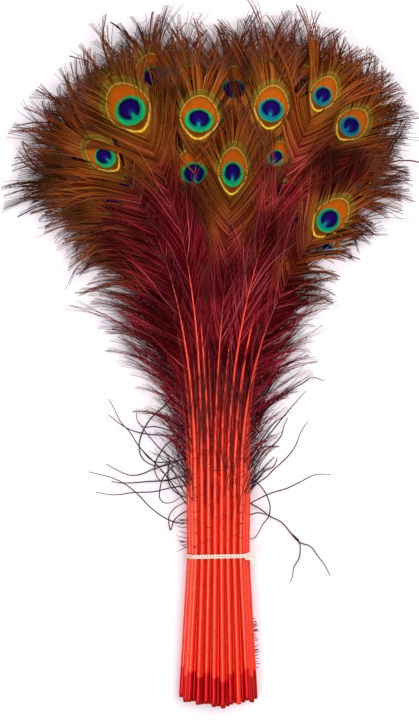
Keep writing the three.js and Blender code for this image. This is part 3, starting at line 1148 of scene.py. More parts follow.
class BarbSide:
    """The barbs on one side of a feather."""

    def __init__(self, line, settings, side, rng):
        self.line, self.settings, self.side, self.rng = line, settings, side, rng
        self.outside = line.outer == side
        self.at_edge = (line.row, line.i) in EDGE_FEATHERS
        self.place_bases()
        self.group_in_locks()
        self.set_reach()
        self.set_curl()
        self.stop_at_outline()
        self.cut = self.cuts_at_eyes()

    def place_bases(self):
        """Where the barbs leave the shaft: closer together about the eye."""
        line, settings, rng = self.line, self.settings, self.rng
        first = -line.length
        full = first + FULL_AFTER
        if self.outside:
            first, full = first + OUTSIDE_START, first + OUTSIDE_FULL_AFTER
        elif line.row in UPPER_STARTS:
            first += UPPER_STARTS[line.row] + UPPER_START_SPREAD * even_share(line.number, 7)
            full = first + UPPER_FULL_AFTER
        gap = 1.0 if line.row in UPPER_STARTS or line.outer else HIDDEN_GAP
        loose = np.arange(first, LOOSE_END, settings.loose_step * gap)
        share = OUTSIDE_SHARE if self.outside else 1.0
        kept = rng.random(len(loose)) < share * smooth_step(loose, first - FIRST_FEW, full)
        middle_step = 0.5 * (settings.loose_step + settings.head_step)
        middle = np.arange(LOOSE_END, HEAD_START, middle_step * gap)
        head = np.arange(HEAD_START, HEAD_END, settings.head_step * gap)
        fan = np.full(FAN_BARBS, HEAD_END)
        bases = np.concatenate((loose[kept], middle, head, fan))
        self.fan = np.zeros(len(bases))
        self.fan[-FAN_BARBS:] = np.linspace(0.0, 1.0, FAN_BARBS)
        self.base = bases + rng.normal(0, BASE_JITTER, len(bases))
        self.first = first
        self.count = len(bases)
        self.in_head = smooth_step(self.base, LOOSE_END - HEAD_BLEND, HEAD_START + HEAD_BLEND)

    def group_in_locks(self):
        """Neighbours cling together in locks, and a few at a time share a shade."""
        rng = self.rng
        sizes = rng.integers(*LOCK_SIZES, self.count)
        self.lock = np.repeat(np.arange(len(sizes)), sizes)[: self.count]
        self.locks = int(self.lock.max()) + 1
        numbers = np.arange(self.locks)
        first = np.searchsorted(self.lock, numbers)
        last = np.searchsorted(self.lock, numbers, side="right") - 1
        self.centre = ((first + last) // 2)[self.lock]
        shades = np.repeat(rng.random(self.count), rng.integers(*SHADE_RUNS, self.count))
        shades = shades[: self.count]
        self.strand = SHARED_SHADE * shades + (1 - SHARED_SHADE) * rng.random(self.count)
        self.tint = line_tint(self.line) + TINT_BY_LOCK * (self.by_lock(rng.random) - 0.5)

    def by_lock(self, draw):
        """One random number for each lock, given to all of its barbs."""
        return draw(self.locks)[self.lock]

    def set_reach(self):
        """How far each barb reaches: many fall short, and some locks stand out as wisps."""
        rng = self.rng
        ahead, wide = barb_plan(self.base, self.line)
        self.wisp = self.by_lock(rng.random) < WISP_SHARES[self.outside]
        self.wisp &= rng.random(self.count) < 0.5
        self.long = (self.by_lock(rng.random) < LONG_SHARE) & self.at_edge
        reach = 1 + UNEVEN_REACH * self.by_lock(rng.standard_normal)
        reach -= SHORTER * (self.by_lock(rng.random) < SHORT_SHARE)
        reach *= 1 - BARB_SHORTER * rng.random(self.count) ** 2
        reach = np.clip(reach, *REACH_LIMITS) * (1.0 if self.at_edge else INSIDE_REACH)
        reach = np.where(self.wisp, reach * rng.uniform(*WISP_REACH, self.count), reach)
        risen = smooth_step(self.base, self.first, self.first + REACH_RISE)
        reach *= FIRST_REACH + (1 - FIRST_REACH) * risen
        loose = 1 - self.in_head
        squeeze = 1 - (0.0 if self.outside else SQUEEZE) * loose
        splay = 1 + self.by_lock(rng.standard_normal) * (SPLAY + LOOSE_SPLAY * loose)
        splay = np.clip(splay, *SPLAY_LIMITS)
        straight = wide * (1 - self.fan) * reach * squeeze
        self.wide = straight * splay
        self.ahead = ahead * reach * (1 + 0.5 * (1 - squeeze)) / np.sqrt(splay)
        self.mid_wide = MIDDLE_OUT * straight
        self.mid_ahead = (MIDDLE_AHEAD + FAN_MIDDLE_AHEAD * self.fan) * self.ahead

    def set_curl(self):
        """Tips hook outwards lock by lock, and loose barbs wave."""
        rng = self.rng
        self.curl = CURL_BY_LOCK * self.by_lock(rng.standard_normal) - CURL
        self.curl += rng.normal(0, CURL_BY_BARB, self.count)
        self.curl *= np.where(self.wisp, WISP_CURL, np.where(self.long, LONG_CURL, 1.0))
        self.curl = np.clip(self.curl, *CURL_LIMITS)
        self.wave_rate = rng.uniform(*WAVE_RATES, self.count)
        self.wave_start = rng.uniform(0, 2 * math.pi, self.count)
        pull = PULL + PULL_BY_LOCK * self.by_lock(rng.random)
        self.pull = np.where(self.long, LONG_PULL, pull)

    def plain_curve(self, t, index):
        """An arc through the middle place, without locks, curl or wave."""
        wide, ahead, mid_wide, mid_ahead, base = (
            column(values[index])
            for values in (self.wide, self.ahead, self.mid_wide, self.mid_ahead, self.base)
        )
        across = 2 * (1 - t) * t * mid_wide + t * t * wide
        along = base + 2 * (1 - t) * t * mid_ahead + t * t * ahead
        return across, along

    def shares(self, count):
        steps = np.linspace(0, 1, count)
        return steps, np.broadcast_to(steps, (self.count, count))

    def stop_at_outline(self):
        """Shortens each barb to the share of it that lies inside the bundle's edge."""
        rng = self.rng
        steps, shares = self.shares(17)
        across, along = self.plain_curve(shares, np.arange(self.count))
        world = self.line.to_world(across * self.side, along, 0)
        x, y = world[..., 0], world[..., 1]
        if self.at_edge:
            spare = self.by_lock(rng.standard_exponential) * EDGE_BY_LOCK
            spare = np.minimum(spare, SPARE) + SPARE_START
            long_spare = LONG_SPARE * self.by_lock(rng.random) + LONG_SPARE_START
            spare = np.where(self.long, long_spare, spare)
            spare += rng.exponential(EDGE_BY_BARB, self.count)
        else:
            spare = -INNER_MARGIN - rng.exponential(INSIDE_BY_BARB, self.count)
        spare += np.where(self.wisp, rng.uniform(*WISP_SPARE, self.count), 0)
        middle, half, height = PLUME
        plume = height * np.exp(-(((x - middle) / half) ** 2))
        beyond = beyond_outline(x, y) - plume * column(self.long) * (y > PLUME_FROM_Y)
        self.stop = first_share(beyond - column(spare), steps)

    def curve(self, s):
        """Places across and along the feather at the shares s of each barb's length."""
        t = s * column(self.stop)
        across, along = self.plain_curve(t, np.arange(self.count))
        lean_across, lean_along = self.plain_curve(s * column(self.stop[self.centre]), self.centre)
        early = column(np.where(self.long, LONG_PULL_START, PULL_START))
        pull = column(self.pull) * smooth_step(s, early, early + PULL_STRETCH)
        across = between((across, lean_across), pull)
        along = between((along, lean_along), pull)
        size = column(np.hypot(self.wide, self.ahead) * self.stop)
        bend = column(self.curl) * size * CURL_DEPTH * s**4
        wave = np.sin(s * column(self.wave_rate) + column(self.wave_start))
        wave = wave * size * s * column(WAVE_DEPTH - CALMER_HEAD * self.in_head)
        slope_across = (1 - 2 * t) * column(self.mid_wide) + t * column(self.wide)
        slope_along = (1 - 2 * t) * column(self.mid_ahead) + t * column(self.ahead)
        slope = np.hypot(slope_across, slope_along) + 1e-6
        across = across - slope_along / slope * (bend + wave)
        along = along + slope_across / slope * (bend + wave)
        return across * self.side, along

    def cuts_at_eyes(self):
        """The share of each barb that is left before it would cover an eye or spread too far."""
        line, rng = self.line, self.rng
        steps, shares = self.shares(19)
        world = line.to_world(*self.curve(shares), 0)
        x, y = world[..., 0], world[..., 1]
        cut = first_share(np.maximum(WIDEST[0] - x, x - WIDEST[1]), steps)
        for (row, i), (half_width, half_height, share) in WINDOWS.items():
            if (row, i) == (line.row, line.i) or 2 * row + i % 2 > line.level + 1:
                continue
            eye_x, eye_y, tilt = eyes_of_row(row)[i][:3]
            heading = heading_of(tilt)
            off_x, off_y = x - eye_x, y - eye_y
            sideways = (off_x * heading[1] - off_y * heading[0]) / half_width
            forward = (off_x * heading[0] + off_y * heading[1] - 1.0) / half_height
            edge = 1 + column(rng.normal(0, 0.05, self.count))
            ends_here = self.by_lock(rng.random) < share
            at_eye = first_share(edge - np.hypot(sideways, forward), steps)
            cut = np.where(ends_here, np.minimum(cut, at_eye), cut)
        return cut

    def ribbons(self):
        """The barbs as narrow ribbons, in mm on the feather and in the scene."""
        settings, rng = self.settings, self.rng
        there = (self.stop * self.cut) > SHORTEST
        steps, s = self.shares(settings.steps + 1)
        t = column(self.cut) * steps
        across, along = self.curve(t)
        spread = LIFT_BY_STRAND * (self.strand - 0.5)
        spread += rng.normal(0, LIFT_BY_BARB, self.count)
        lift = column(spread * (LOOSE_LIFT - CLOSER_HEAD * self.in_head)) * t
        droop = -DROOP * t**2 * smooth_step(np.abs(across), *DROOP_WIDTHS)
        middle = self.line.to_world(across, along, lift + droop + START_HEIGHT * (1 - t))
        roll = column(rng.normal(0, ROLL, self.count) * (1 - FLATTER_HEAD * self.in_head))
        sideways = level_across(middle) * np.cos(roll)[..., None]
        sideways[..., 2] += np.sin(roll)
        out = np.hypot(across / BROAD_HALF_WIDTH, (along - 1) / BROAD_HALF_HEIGHT)
        width = between((settings.loose_width, settings.head_width), self.in_head)
        width = column(width * np.where(self.wisp, WISP_WIDTH, 1.0))
        width = width * (1 + BROADER * (1 - smooth_step(out, 0.8, 1.05)))
        thinner = column(np.where(self.long, LONG_THINNER, THINNER))
        taper = np.minimum(1, ROOT_WIDTH + FILLING * s)
        taper = taper * (1 - thinner * smooth_step(t, THINNER_FROM, 1.0))
        half = (0.5 * width * taper)[..., None] * sideways
        left, right = middle - half, middle + half
        for edge in (left, right):
            edge[..., 2] = np.maximum(edge[..., 2], LOWEST_Z)
        ribbons = dict(
            left=left, right=right, across=across, along=along, t=t, strand=self.strand,
            tint=self.tint,
        )
        return {name: values[there] for name, values in ribbons.items()}


def level_across(middle):
    """Level unit vectors across lines of places."""
    tangent = np.gradient(middle, axis=1)
    return unit(np.stack([-tangent[..., 1], tangent[..., 0], 0 * tangent[..., 0]], -1))


def line_tint(line):
    """How red the barbs of a feather are, from 0 to 1, inside what a UV layer keeps."""
    return 0.25 + 0.5 * line.redness


def feather_tone_and_row_shade(line):
    """How light a feather is: golden ones more than others; lower rows get a painted shade."""
    # Painted shade: the widest row and those under it are darker, as if shaded by the rows above
    painted_row_shade = 1.02 if line.row > WIDEST_ROW else 0.89
    return painted_row_shade + 0.28 * even_share(line.number, 6) - 0.34 * line.redness


def ribbons_mesh(name, material, ribbons, line, bake_width):
    """A mesh of ribbons that share one number of steps, with its layers."""
    r = {key: np.concatenate([part[key] for part in ribbons]) for key in ribbons[0]}
    total, points = r["t"].shape
    rank = np.arange(total)[:, None, None] + np.array((0.0, 1.0))
    u = np.broadcast_to(between(bake_width, rank / total), (total, points, 2))
    up = np.linspace(0, 1, points)[None, :, None]
    v = np.broadcast_to(between(BAKE_HEIGHT, up), u.shape)
    near = smooth_step(r["along"], *EYE_SCALED)
    across = r["across"] / between((1, line.eye_width), near)
    along = r["along"] / between((1, line.eye_height), near)
    strand = np.broadcast_to(column(r["strand"]), r["t"].shape)
    tint = np.broadcast_to(column(r["tint"]), r["t"].shape)
    layers = {"OFBake": np.stack([u, v], -1).reshape(-1, 2)}
    # The Feather layer carries the redness and the tone, with the lower rows' painted shade
    for layer, pair in (
        ("Place", (across, along)),
        ("Strand", (strand, r["t"])),
        ("Feather", (tint, np.full_like(tint, feather_tone_and_row_shade(line)))),
    ):
        layers[layer] = np.repeat(np.stack(pair, -1), 2, axis=1).reshape(-1, 2)
    first = np.arange(total)[:, None] * points * 2 + np.arange(points - 1) * 2
    quads = np.stack([first, first + 1, first + 3, first + 2], -1).reshape(-1, 4)
    vertices = np.stack([r["left"], r["right"]], 2).reshape(-1, 3)
    return mesh_from_arrays(name, material, vertices, quads, layers)


# Stray barbs

HAIR_STEPS = 22
LOWEST_HAIR_Z = 0.8
# How thin a stray barb's tip is against the rest of it
HAIR_TIP_WIDTH = 0.55
# Where on the feather the hairs' layers say that they are: below all brown barbs
HAIR_PLACE = -200

# The long stray barbs that stand out on each side, as points from the quill outwards
LEFT_HAIRS = (
    ((-25, 121), (-33, 126), (-43, 117), (-53, 108), (-60, 97), (-63, 86), (-61, 76),
     (-55, 71), (-47, 69), (-39, 72)),
    ((-25, 93), (-42, 94), (-57, 95), (-69, 98), (-78, 103), (-87, 110)),
    ((-25, 93), (-39, 98), (-50, 101), (-60, 101), (-64, 105), (-65, 112)),
    ((-25, 55), (-38, 53), (-50, 50), (-67, 49), (-83, 47), (-97, 49)),
    ((-25, 26), (-33, 26), (-39, 28), (-53, 37), (-65, 49), (-73, 55), (-83, 60), (-94, 63),
     (-103, 65)),
    ((-25, 62), (-42, 58), (-57, 57), (-69, 56), (-78, 56), (-85, 57)),
    ((-25, 77), (-36, 72), (-52, 67), (-61, 63), (-69, 62), (-78, 65), (-89, 71)),
    ((-25, 94), (-41, 87), (-46, 80), (-50, 72), (-50, 64), (-46, 58), (-39, 58), (-32, 62)),
    ((-25, 35), (-30, 32), (-35, 27), (-38, 19), (-39, 24), (-39, 30), (-35, 36), (-25, 41)),
    ((-35, 71), (-43, 62), (-46, 52), (-46, 44), (-43, 41), (-37, 41), (-30, 45)),
    ((-25, 44), (-33, 48), (-39, 55), (-40, 66), (-39, 74), (-43, 82)),
    ((-25, 65), (-34, 74), (-46, 83), (-53, 91), (-59, 98), (-63, 104)),
    ((-25, 40), (-46, 68), (-64, 87), (-71, 98), (-77, 104), (-82, 114), (-87, 123)),
    ((-25, 76), (-42, 73), (-49, 73), (-55, 76), (-61, 83)),
)
RIGHT_HAIRS = (
    ((25, 40), (34, 35), (40, 30), (50, 25), (57, 17), (64, 9), (74, 5), (79, -2), (85, -10),
     (89, -18)),
    ((57, 17), (64, 10), (65, 2), (64, -4), (60, -11), (59, -18), (57, -23)),
    ((25, 60), (29, 58), (35, 52), (39, 45), (41, 37), (40, 30), (35, 23), (32, 17),
     (28, 12), (24, 12)),
    ((25, 41), (33, 45), (42, 49), (53, 52), (64, 57), (77, 63), (89, 63)),
    ((25, 52), (32, 58), (38, 62), (43, 67), (50, 73), (57, 80), (62, 88), (65, 96),
     (71, 105)),
    ((25, 55), (30, 58), (36, 65), (44, 69), (47, 76)),
    ((25, 42), (25, 51), (30, 58), (35, 62)),
    ((25, 68), (31, 74), (37, 82), (44, 87), (50, 94), (52, 101), (55, 108)),
    ((25, 32), (30, 33), (39, 31)),
    ((25, 73), (34, 87), (48, 105), (59, 118), (69, 129)),
    ((25, 77), (35, 91), (45, 104), (54, 110)),
    ((25, 79), (34, 84), (40, 85), (49, 85)),
    ((25, 99), (40, 117), (56, 129), (68, 136), (74, 140), (84, 137)),
)
# How far they sink on their way out, as a share of the height of their quill
LONG_HAIR_FALL = (0.55, 0.85)
# The comb of shorter ones on each outer feather: how many, from and to which y, how far they
# turn outwards in degrees and go on turning, how long, how far they sink, and how wide against
# a long one
COMB_HAIRS = 9
COMB_Y = (40, 118)
COMB_TURN = (20, 42)
COMB_BENDS = (-30, 50)
COMB_LENGTH = (22, 46)
COMB_FALL = (0.1, 0.5)
COMB_WIDTH = 0.6
# The stubs on the widest quill of each side: from and to which y, how many, the longest
EDGE_STUBS = {-1: (4, 30, 14, 10.0), 1: (-92, -50, 30, 4.8)}
STUB_TURN = (70, 110)
STUB_SUNK = 0.8
STUB_FALL = 0.05
STUB_WIDTH = 0.55
STUB_RED = (0, 0.8)
# The thin barbs that lie over the quills of the top row: how many, from which y up and how
# far, how far beside the quill's middle, how they are turned, how long, how far over the quill,
# how wide against a long stray one, and how red
CLINGING_HAIRS = 26
CLINGING_Y = (22, 128)
CLINGING_BESIDE = (1.4, 2.4)
CLINGING_TURN = (-4, 12)
CLINGING_LENGTH = (12, 44)
CLINGING_START = 1.2
CLINGING_OVER = (0.35, 1.55)
CLINGING_WIDTH = (0.3, 0.6)
CLINGING_RED = (0.6, 1.0)
# The short stubs across these quills: how many on an inner one and on an outer one, from and
# to which y, how far beside the quill's middle, how they are turned, how long, how they arch
# over the quill, and how wide
CROSS_STUBS = (5, 16)
CROSS_STUB_Y = (6, 84)
CROSS_STUB_BESIDE = 1.9
CROSS_STUB_TURN = (55, 110)
CROSS_STUB_LENGTH = (2.5, 5.0)
CROSS_STUB_OVER = 0.25
CROSS_STUB_ARCH = 0.9
CROSS_STUB_WIDTH = 0.45


def wandering(start, heading, length, bends):
    """A hair from start, whose heading turns evenly between the bends, in degrees."""
    s = np.linspace(0, 1, HAIR_STEPS)
    turn = np.interp(s, np.linspace(0, 1, len(bends)), bends)
    angle = np.radians(heading + np.cumsum(turn) / HAIR_STEPS)[:-1]
    steps = np.stack([np.sin(angle), np.cos(angle)], -1) * length / (HAIR_STEPS - 1)
    return start + np.concatenate((np.zeros((1, 2)), np.cumsum(steps, axis=0)))


def hair_ribbon(points, z, width, strand, red=0.0):
    """A stray barb from the points seen from above and their heights."""
    middle = np.concatenate([points, column(z)], -1)[None]
    t = np.linspace(0, 1, len(points))[None]
    taper = HAIR_TIP_WIDTH + (1 - HAIR_TIP_WIDTH) * np.minimum(1, 2.2 * (1 - t))
    half = 0.5 * width * taper[..., None] * level_across(middle)
    return dict(
        left=middle - half, right=middle + half, across=0 * t, along=0 * t + HAIR_PLACE, t=t,
        strand=np.array([strand]), tint=np.array([red]),
    )


def falling(line, start, fall, rng):
    """Heights of a hair that leaves a quill and sinks towards the surface."""
    t = np.linspace(0, 1, HAIR_STEPS)
    top = float(line.height(np.array(start[1])))
    sway = rng.uniform(-1, 1) * np.sin(3 * t)
    return np.maximum(top * (1 - fall * t**0.8) + sway, LOWEST_HAIR_Z)


def edge_hairs(line, settings, rng):
    """The long stray barbs of an outer feather, with a comb of shorter ones and stubs."""
    known = LEFT_HAIRS if line.outer < 0 else RIGHT_HAIRS
    hairs = []
    for points in known[line.row :: len(ROW_COUNTS)]:
        course = curve_through(points, HAIR_STEPS)
        z = falling(line, course[0], rng.uniform(*LONG_HAIR_FALL), rng)
        hairs.append(hair_ribbon(course, z, settings.hair_width, rng.random()))
    for _ in range(COMB_HAIRS):
        start = line.at_y(rng.uniform(*COMB_Y))
        heading = line.outer * rng.uniform(*COMB_TURN)
        bends = line.outer * rng.uniform(*COMB_BENDS, 3)
        course = wandering(start, heading, rng.uniform(*COMB_LENGTH), bends)
        z = falling(line, course[0], rng.uniform(*COMB_FALL), rng)
        hairs.append(hair_ribbon(course, z, COMB_WIDTH * settings.hair_width, rng.random()))
    if line.row == WIDEST_ROW:
        lowest, highest, count, longest = EDGE_STUBS[line.outer]
        for base_y in rng.uniform(lowest, highest, count):
            start = line.at_y(base_y) + (line.outer * (QUILL_RADIUS - STUB_SUNK), 0)
            heading = line.outer * rng.uniform(*STUB_TURN)
            length = rng.uniform(0.5, 1) * longest
            course = wandering(start, heading, length, rng.normal(0, 25, 2))
            z = falling(line, course[0], STUB_FALL, rng)
            width = STUB_WIDTH * settings.hair_width
            hairs.append(hair_ribbon(course, z, width, rng.random(), rng.uniform(*STUB_RED)))
    return hairs


def clinging_hairs(line, settings, rng):
    """Thin dark barbs that lie over the bare quills of the top row, and short stubs."""
    hairs = []
    t = np.linspace(0, 1, HAIR_STEPS)
    for _ in range(CLINGING_HAIRS):
        base_y = between(CLINGING_Y, rng.random() ** 0.5)
        side = rng.choice((-1, 1))
        start = line.at_y(base_y) + (side * rng.uniform(*CLINGING_BESIDE), 0)
        heading = side * rng.uniform(*CLINGING_TURN)
        length = rng.uniform(*CLINGING_LENGTH)
        course = wandering(start, heading, length, rng.normal(0, 20, 3))
        over = QUILL_RADIUS + rng.uniform(*CLINGING_OVER)
        rise = between((CLINGING_START, over), smooth_step(t, 0, 0.25))
        z = line.height(course[:, 1]) + rise
        width = rng.uniform(*CLINGING_WIDTH) * settings.hair_width
        hairs.append(hair_ribbon(course, z, width, rng.random(), rng.uniform(*CLINGING_RED)))
    for _ in range(CROSS_STUBS[abs(line.outer)]):
        side = rng.choice((-1, 1))
        start = line.at_y(rng.uniform(*CROSS_STUB_Y)) - (side * CROSS_STUB_BESIDE, 0)
        heading = side * rng.uniform(*CROSS_STUB_TURN)
        length = rng.uniform(*CROSS_STUB_LENGTH)
        course = wandering(start, heading, length, rng.normal(0, 40, 2))
        arch = CROSS_STUB_OVER - CROSS_STUB_ARCH * (2 * t - 1) ** 2
        z = line.height(course[:, 1]) + QUILL_RADIUS + arch
        width = CROSS_STUB_WIDTH * settings.hair_width
        hairs.append(hair_ribbon(course, z, width, rng.random(), rng.uniform(*CLINGING_RED)))
    return hairs


# Feathers


def give(piece, node):
    """Sets a finished piece in the frame in the place of its solid."""
    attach(piece, "root")
    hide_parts(node)


def build_feather(template, line, settings):
    rng = np.random.default_rng(settings.seed * 100 + line.number)
    sides = [BarbSide(line, settings, side, rng).ribbons() for side in (-1, 1)]
    meshes = [
        bend_quill(template, line),
        ribbons_mesh("barbs", "Dyed barbs", sides, line, BARB_BAKE),
    ]
    hairs = edge_hairs(line, settings, rng) if line.outer else []
    if line.row == TOP_ROW:
        hairs += clinging_hairs(line, settings, rng)
    if hairs:
        meshes.append(ribbons_mesh("hairs", "Stray barbs", hairs, line, HAIR_BAKE))
    name = f"feather_{line.number:02d}"
    give(join_pieces(name + "_dressed", meshes), name)


class PEACOCK_OT_feather_row(bpy.types.Operator):
    """Build the feathers of one row, each a quill with its barbs"""

    bl_idname = "peacock.feather_row"
    bl_label = "Feather row"

    row: IntProperty(name="Row", description="Row at the tie, lowest first", min=0, max=TOP_ROW)

    def execute(self, context):
        template = straight_quill()
        for line in all_lines():
            if line.row == self.row:
                build_feather(template, line, context.scene.peacock_barbs)
        bpy.data.objects.remove(template)
        return {"FINISHED"}


# Tie

STRING_GAP = 0.25
STRING_RADIUS = 1.0
KNOT = np.array((22.6, 0.3, LOWEST_QUILL_Z + 4.1 * ROW_PITCH))
PLY_SIDES = 7
PLY_OFFSET = 0.86
RINGS_PER_TURN = 9
ARC_POINTS = 9
TURN_STEPS = 240
KNOT_STEPS = 60
# How far each turn lies from the middle of the tie, and how much it rises to the right
TURN_SHIFTS = (-0.8, 0.8)
TURN_SLANT = 0.018
# Where a course runs nearly along Y, its sides are worked out from X instead
WEAK_SIDE = 0.25

# The string's courses about the knot, as points from its middle: over and under it, and its
# three loose ends, of which one is frayed into its plies
KNOT_COURSES = (
    ((-0.8, 2.3, 2.3), (2.0, 0.8, 2.0), (2.6, -1.5, -0.2), (0.8, -2.7, 0.8), (-1.5, -1.8, 2.3),
     (-0.8, 0.8, 3.1), (1.6, 2.1, 1.6), (2.7, 1.5, -1.0), (0.8, 0.2, -2.2)),
    ((-2.5, 1.2, 2.0), (0.5, -1.1, 2.8), (3.0, -0.2, 0.5), (1.5, 2.0, -1.2)),
    ((0.0, 0.4, 0.8), (2.6, 1.7, 0.8), (4.4, 2.5, -0.4), (6.2, 3.2, -1.8)),
    ((0.2, -0.2, 1.0), (2.8, 0.2, 0.6), (4.8, -0.2, -0.8), (6.6, -0.7, -2.2)),
    ((0.0, -0.3, 1.0), (2.3, -2.4, 0.4), (3.5, -5.8, -1.4), (3.4, -10.4, -3.4)),
    ((0.4, -0.6, 0.4), (2.9, -2.1, -0.4), (4.5, -4.8, -2.2), (5.0, -8.4, -4.2)),
)


def bundle_outline(offset, steps):
    """Points round the bundle at the tie, as x and z."""
    corners = [
        ((ROW_COUNTS[row] - 1) / 2 * QUILL_PITCH, LOWEST_QUILL_Z + row * ROW_PITCH)
        for row in (0, WIDEST_ROW, TOP_ROW)
    ]
    arcs = [(x, z, -90 + 60 * k) for k, (x, z) in enumerate(corners)]
    arcs += [(-x, z, 90 + 60 * k) for k, (x, z) in enumerate(reversed(corners))]
    points = []
    for x, z, start in arcs:
        for angle in np.radians(np.linspace(start, start + 60, ARC_POINTS)):
            points.append((x + offset * math.cos(angle), z + offset * math.sin(angle)))
    points = np.array(points + points[:1])
    arc = run_lengths(points)
    return read_at(np.linspace(0, arc[-1], steps), arc, points)


def straight_string(turns, ply_radius):
    """Two plies wound about each other along +Y, one ring for each unit of Y in mm."""
    deselect_all()
    for side in (-1, 1):
        bpy.ops.mesh.primitive_circle_add(
            vertices=PLY_SIDES, radius=ply_radius * MM, fill_type="NGON",
            rotation=(math.radians(90), 0, 0),
            location=(side * PLY_OFFSET * ply_radius * MM, 0, 0),
        )
        bpy.context.object.name = "ply"
    for piece in bpy.context.scene.objects:
        piece.select_set(piece.name.startswith("ply"))
    bpy.ops.object.join()
    string = bpy.context.object
    bpy.ops.object.transform_apply(location=True, rotation=True, scale=True)
    bpy.ops.object.mode_set(mode="EDIT")
    bpy.ops.mesh.select_all(action="SELECT")
    for _ in range(turns * RINGS_PER_TURN):
        bpy.ops.mesh.extrude_region_move(TRANSFORM_OT_translate={"value": (0, MM, 0)})
        bpy.ops.transform.rotate(
            value=2 * math.pi / RINGS_PER_TURN, orient_axis="Y", center_override=(0, 0, 0),
        )
    bpy.ops.mesh.select_all(action="SELECT")
    bpy.ops.mesh.normals_make_consistent(inside=False)
    bpy.ops.object.mode_set(mode="OBJECT")
    return string


def lay_string(course, tie, closed):
    """A piece of string laid along a course, as a mesh."""
    turns = max(2, round(run_lengths(course)[-1] / tie.twist_pitch))
    string = straight_string(turns, tie.ply_radius)
    mesh = string.data.copy()
    bpy.data.objects.remove(string)
    co = read_array(mesh.vertices, "co", np.float32, 3) / MM
    rings = turns * RINGS_PER_TURN
    share = np.clip(co[:, 1] / rings, 0, 1)
    s = np.linspace(0, 1, len(course))
    tangent = unit(np.gradient(course, s, axis=0))
    outwards = np.cross(tangent, (0.0, 1.0, 0.0))
    weak = np.linalg.norm(outwards, axis=1) < WEAK_SIDE
    outwards[weak] = np.cross(tangent[weak], (1.0, 0.0, 0.0))
    outwards = unit(outwards)
    over = np.cross(tangent, outwards)
    centre, one, two = (read_at(share, s, values) for values in (course, outwards, over))
    if not closed:
        thin = np.sqrt(np.clip(10 * np.minimum(share, 1 - share), 0.2, 1))
        co[:, 0] *= thin
        co[:, 2] *= thin
    world = centre + one * co[:, 0:1] + two * co[:, 2:3]
    loops = read_array(mesh.loops, "vertex_index", np.int32)
    fibre = np.abs((np.arctan2(co[:, 2], co[:, 0]) / math.pi * 3) % 2 - 1)
    layers = {"Strand": np.stack([fibre[loops], share[loops] * turns], -1)}
    finish_mesh(mesh, "Cream string", world, layers)
    return mesh


class PEACOCK_OT_tie(bpy.types.Operator):
    """Build the twisted string round the quills, with its knot and loose ends"""

    bl_idname = "peacock.tie"
    bl_label = "Tie"

    def execute(self, context):
        tie = context.scene.peacock_tie
        x, z = bundle_outline(QUILL_RADIUS + STRING_GAP + STRING_RADIUS, TURN_STEPS).T
        meshes = []
        for shift in TURN_SHIFTS:
            course = np.stack([x, shift + TURN_SLANT * x, z], -1)
            meshes.append(lay_string(course, tie, closed=True))
        for points in KNOT_COURSES:
            course = curve_through(KNOT + np.array(points), KNOT_STEPS)
            meshes.append(lay_string(course, tie, closed=False))
        give(join_pieces("tie_string", meshes), "tie_band")
        return {"FINISHED"}


# Stage

FLOOR_SIZE_M = 6.0
# Each light's place and size in m, its power against the key light's, and its colour
LIGHTS = {
    "key": ((0.45, 0.45, 1.6), 1.2, 1.0, (1.0, 0.985, 0.97)),
    "fill": ((-0.55, -0.28, 1.5), 0.6, 0.40, (0.97, 0.95, 1.0)),
}
LIGHT_AIM_M = (0.0, 0.15, 0.0)
ROOM_COLOUR = (0.98, 0.95, 1.0, 1)
NEAREST_SEEN_M = 0.05


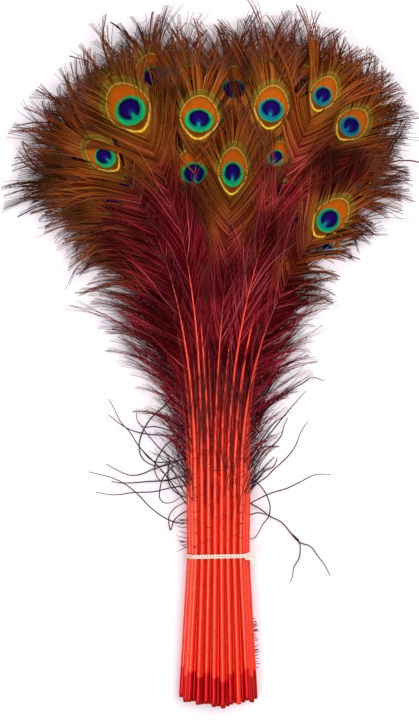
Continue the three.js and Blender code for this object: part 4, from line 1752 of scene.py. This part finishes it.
class PEACOCK_OT_stage(bpy.types.Operator):
    """Lay the pale floor, hang the soft lights and set the camera"""

    bl_idname = "peacock.stage"
    bl_label = "Stage"

    def execute(self, context):
        settings = context.scene.peacock_stage
        deselect_all()
        bpy.ops.mesh.primitive_plane_add(size=FLOOR_SIZE_M, location=(0, 0, 0))
        floor = context.object
        floor.name = "floor"
        floor.data.materials.append(bpy.data.materials["Pale floor"])
        for name, (place, size, power, tint) in LIGHTS.items():
            bpy.ops.object.light_add(type="AREA", location=place)
            light = context.object
            light.name = name
            light.data.size = size
            light.data.energy = power * settings.key_light
            light.data.color = tint
            aim = np.array(LIGHT_AIM_M) - np.array(place)
            tilt = math.atan2(math.hypot(aim[0], aim[1]), -aim[2])
            light.rotation_euler = (tilt, 0.0, math.atan2(aim[1], aim[0]) - math.pi / 2)
        world = bpy.data.worlds.new("soft room")
        world.use_nodes = True
        background = world.node_tree.nodes["Background"]
        background.inputs["Color"].default_value = ROOM_COLOUR
        background.inputs["Strength"].default_value = settings.room_light
        context.scene.world = world
        place = (settings.look_x_m, settings.look_y_m, settings.camera_height_m)
        bpy.ops.object.camera_add(location=place, rotation=(0, 0, 0))
        camera = context.object
        camera.data.lens = settings.lens_mm
        camera.data.clip_start = NEAREST_SEEN_M
        context.scene.camera = camera
        context.scene.view_settings.view_transform = "Standard"
        return {"FINISHED"}


# Add-on


class PEACOCK_PT_panel(bpy.types.Panel):
    """Lists the pieces and their settings"""

    bl_idname = "PEACOCK_PT_panel"
    bl_label = "Peacock feather bundle"
    bl_space_type = "VIEW_3D"
    bl_region_type = "UI"
    bl_category = "Feathers"

    def draw(self, context):
        layout = self.layout
        layout.operator("peacock.finishes")
        layout.operator("peacock.stage")
        for row in range(len(ROW_COUNTS)):
            layout.operator("peacock.feather_row", text=f"Feather row {row}").row = row
        layout.operator("peacock.tie")
        for name, cls in SETTINGS.items():
            box = layout.box()
            box.label(text=cls.__doc__)
            for value in cls.__annotations__:
                box.prop(getattr(context.scene, name), value)


SETTINGS = {
    "peacock_barbs": BarbSettings,
    "peacock_dye": DyeSettings,
    "peacock_eye": EyeSettings,
    "peacock_tie": TieSettings,
    "peacock_stage": StageSettings,
}
CLASSES = (
    *SETTINGS.values(),
    PEACOCK_OT_finishes,
    PEACOCK_OT_feather_row,
    PEACOCK_OT_tie,
    PEACOCK_OT_stage,
    PEACOCK_PT_panel,
)


def register():
    for cls in CLASSES:
        bpy.utils.register_class(cls)
    for name, cls in SETTINGS.items():
        setattr(bpy.types.Scene, name, PointerProperty(type=cls))


def unregister():
    for name in SETTINGS:
        delattr(bpy.types.Scene, name)
    for cls in reversed(CLASSES):
        bpy.utils.unregister_class(cls)


def main():
    register()
    bpy.ops.peacock.finishes()
    bpy.ops.peacock.stage()
    for row in range(len(ROW_COUNTS)):
        bpy.ops.peacock.feather_row(row=row)
    bpy.ops.peacock.tie()


if __name__ == "__main__":
    main()
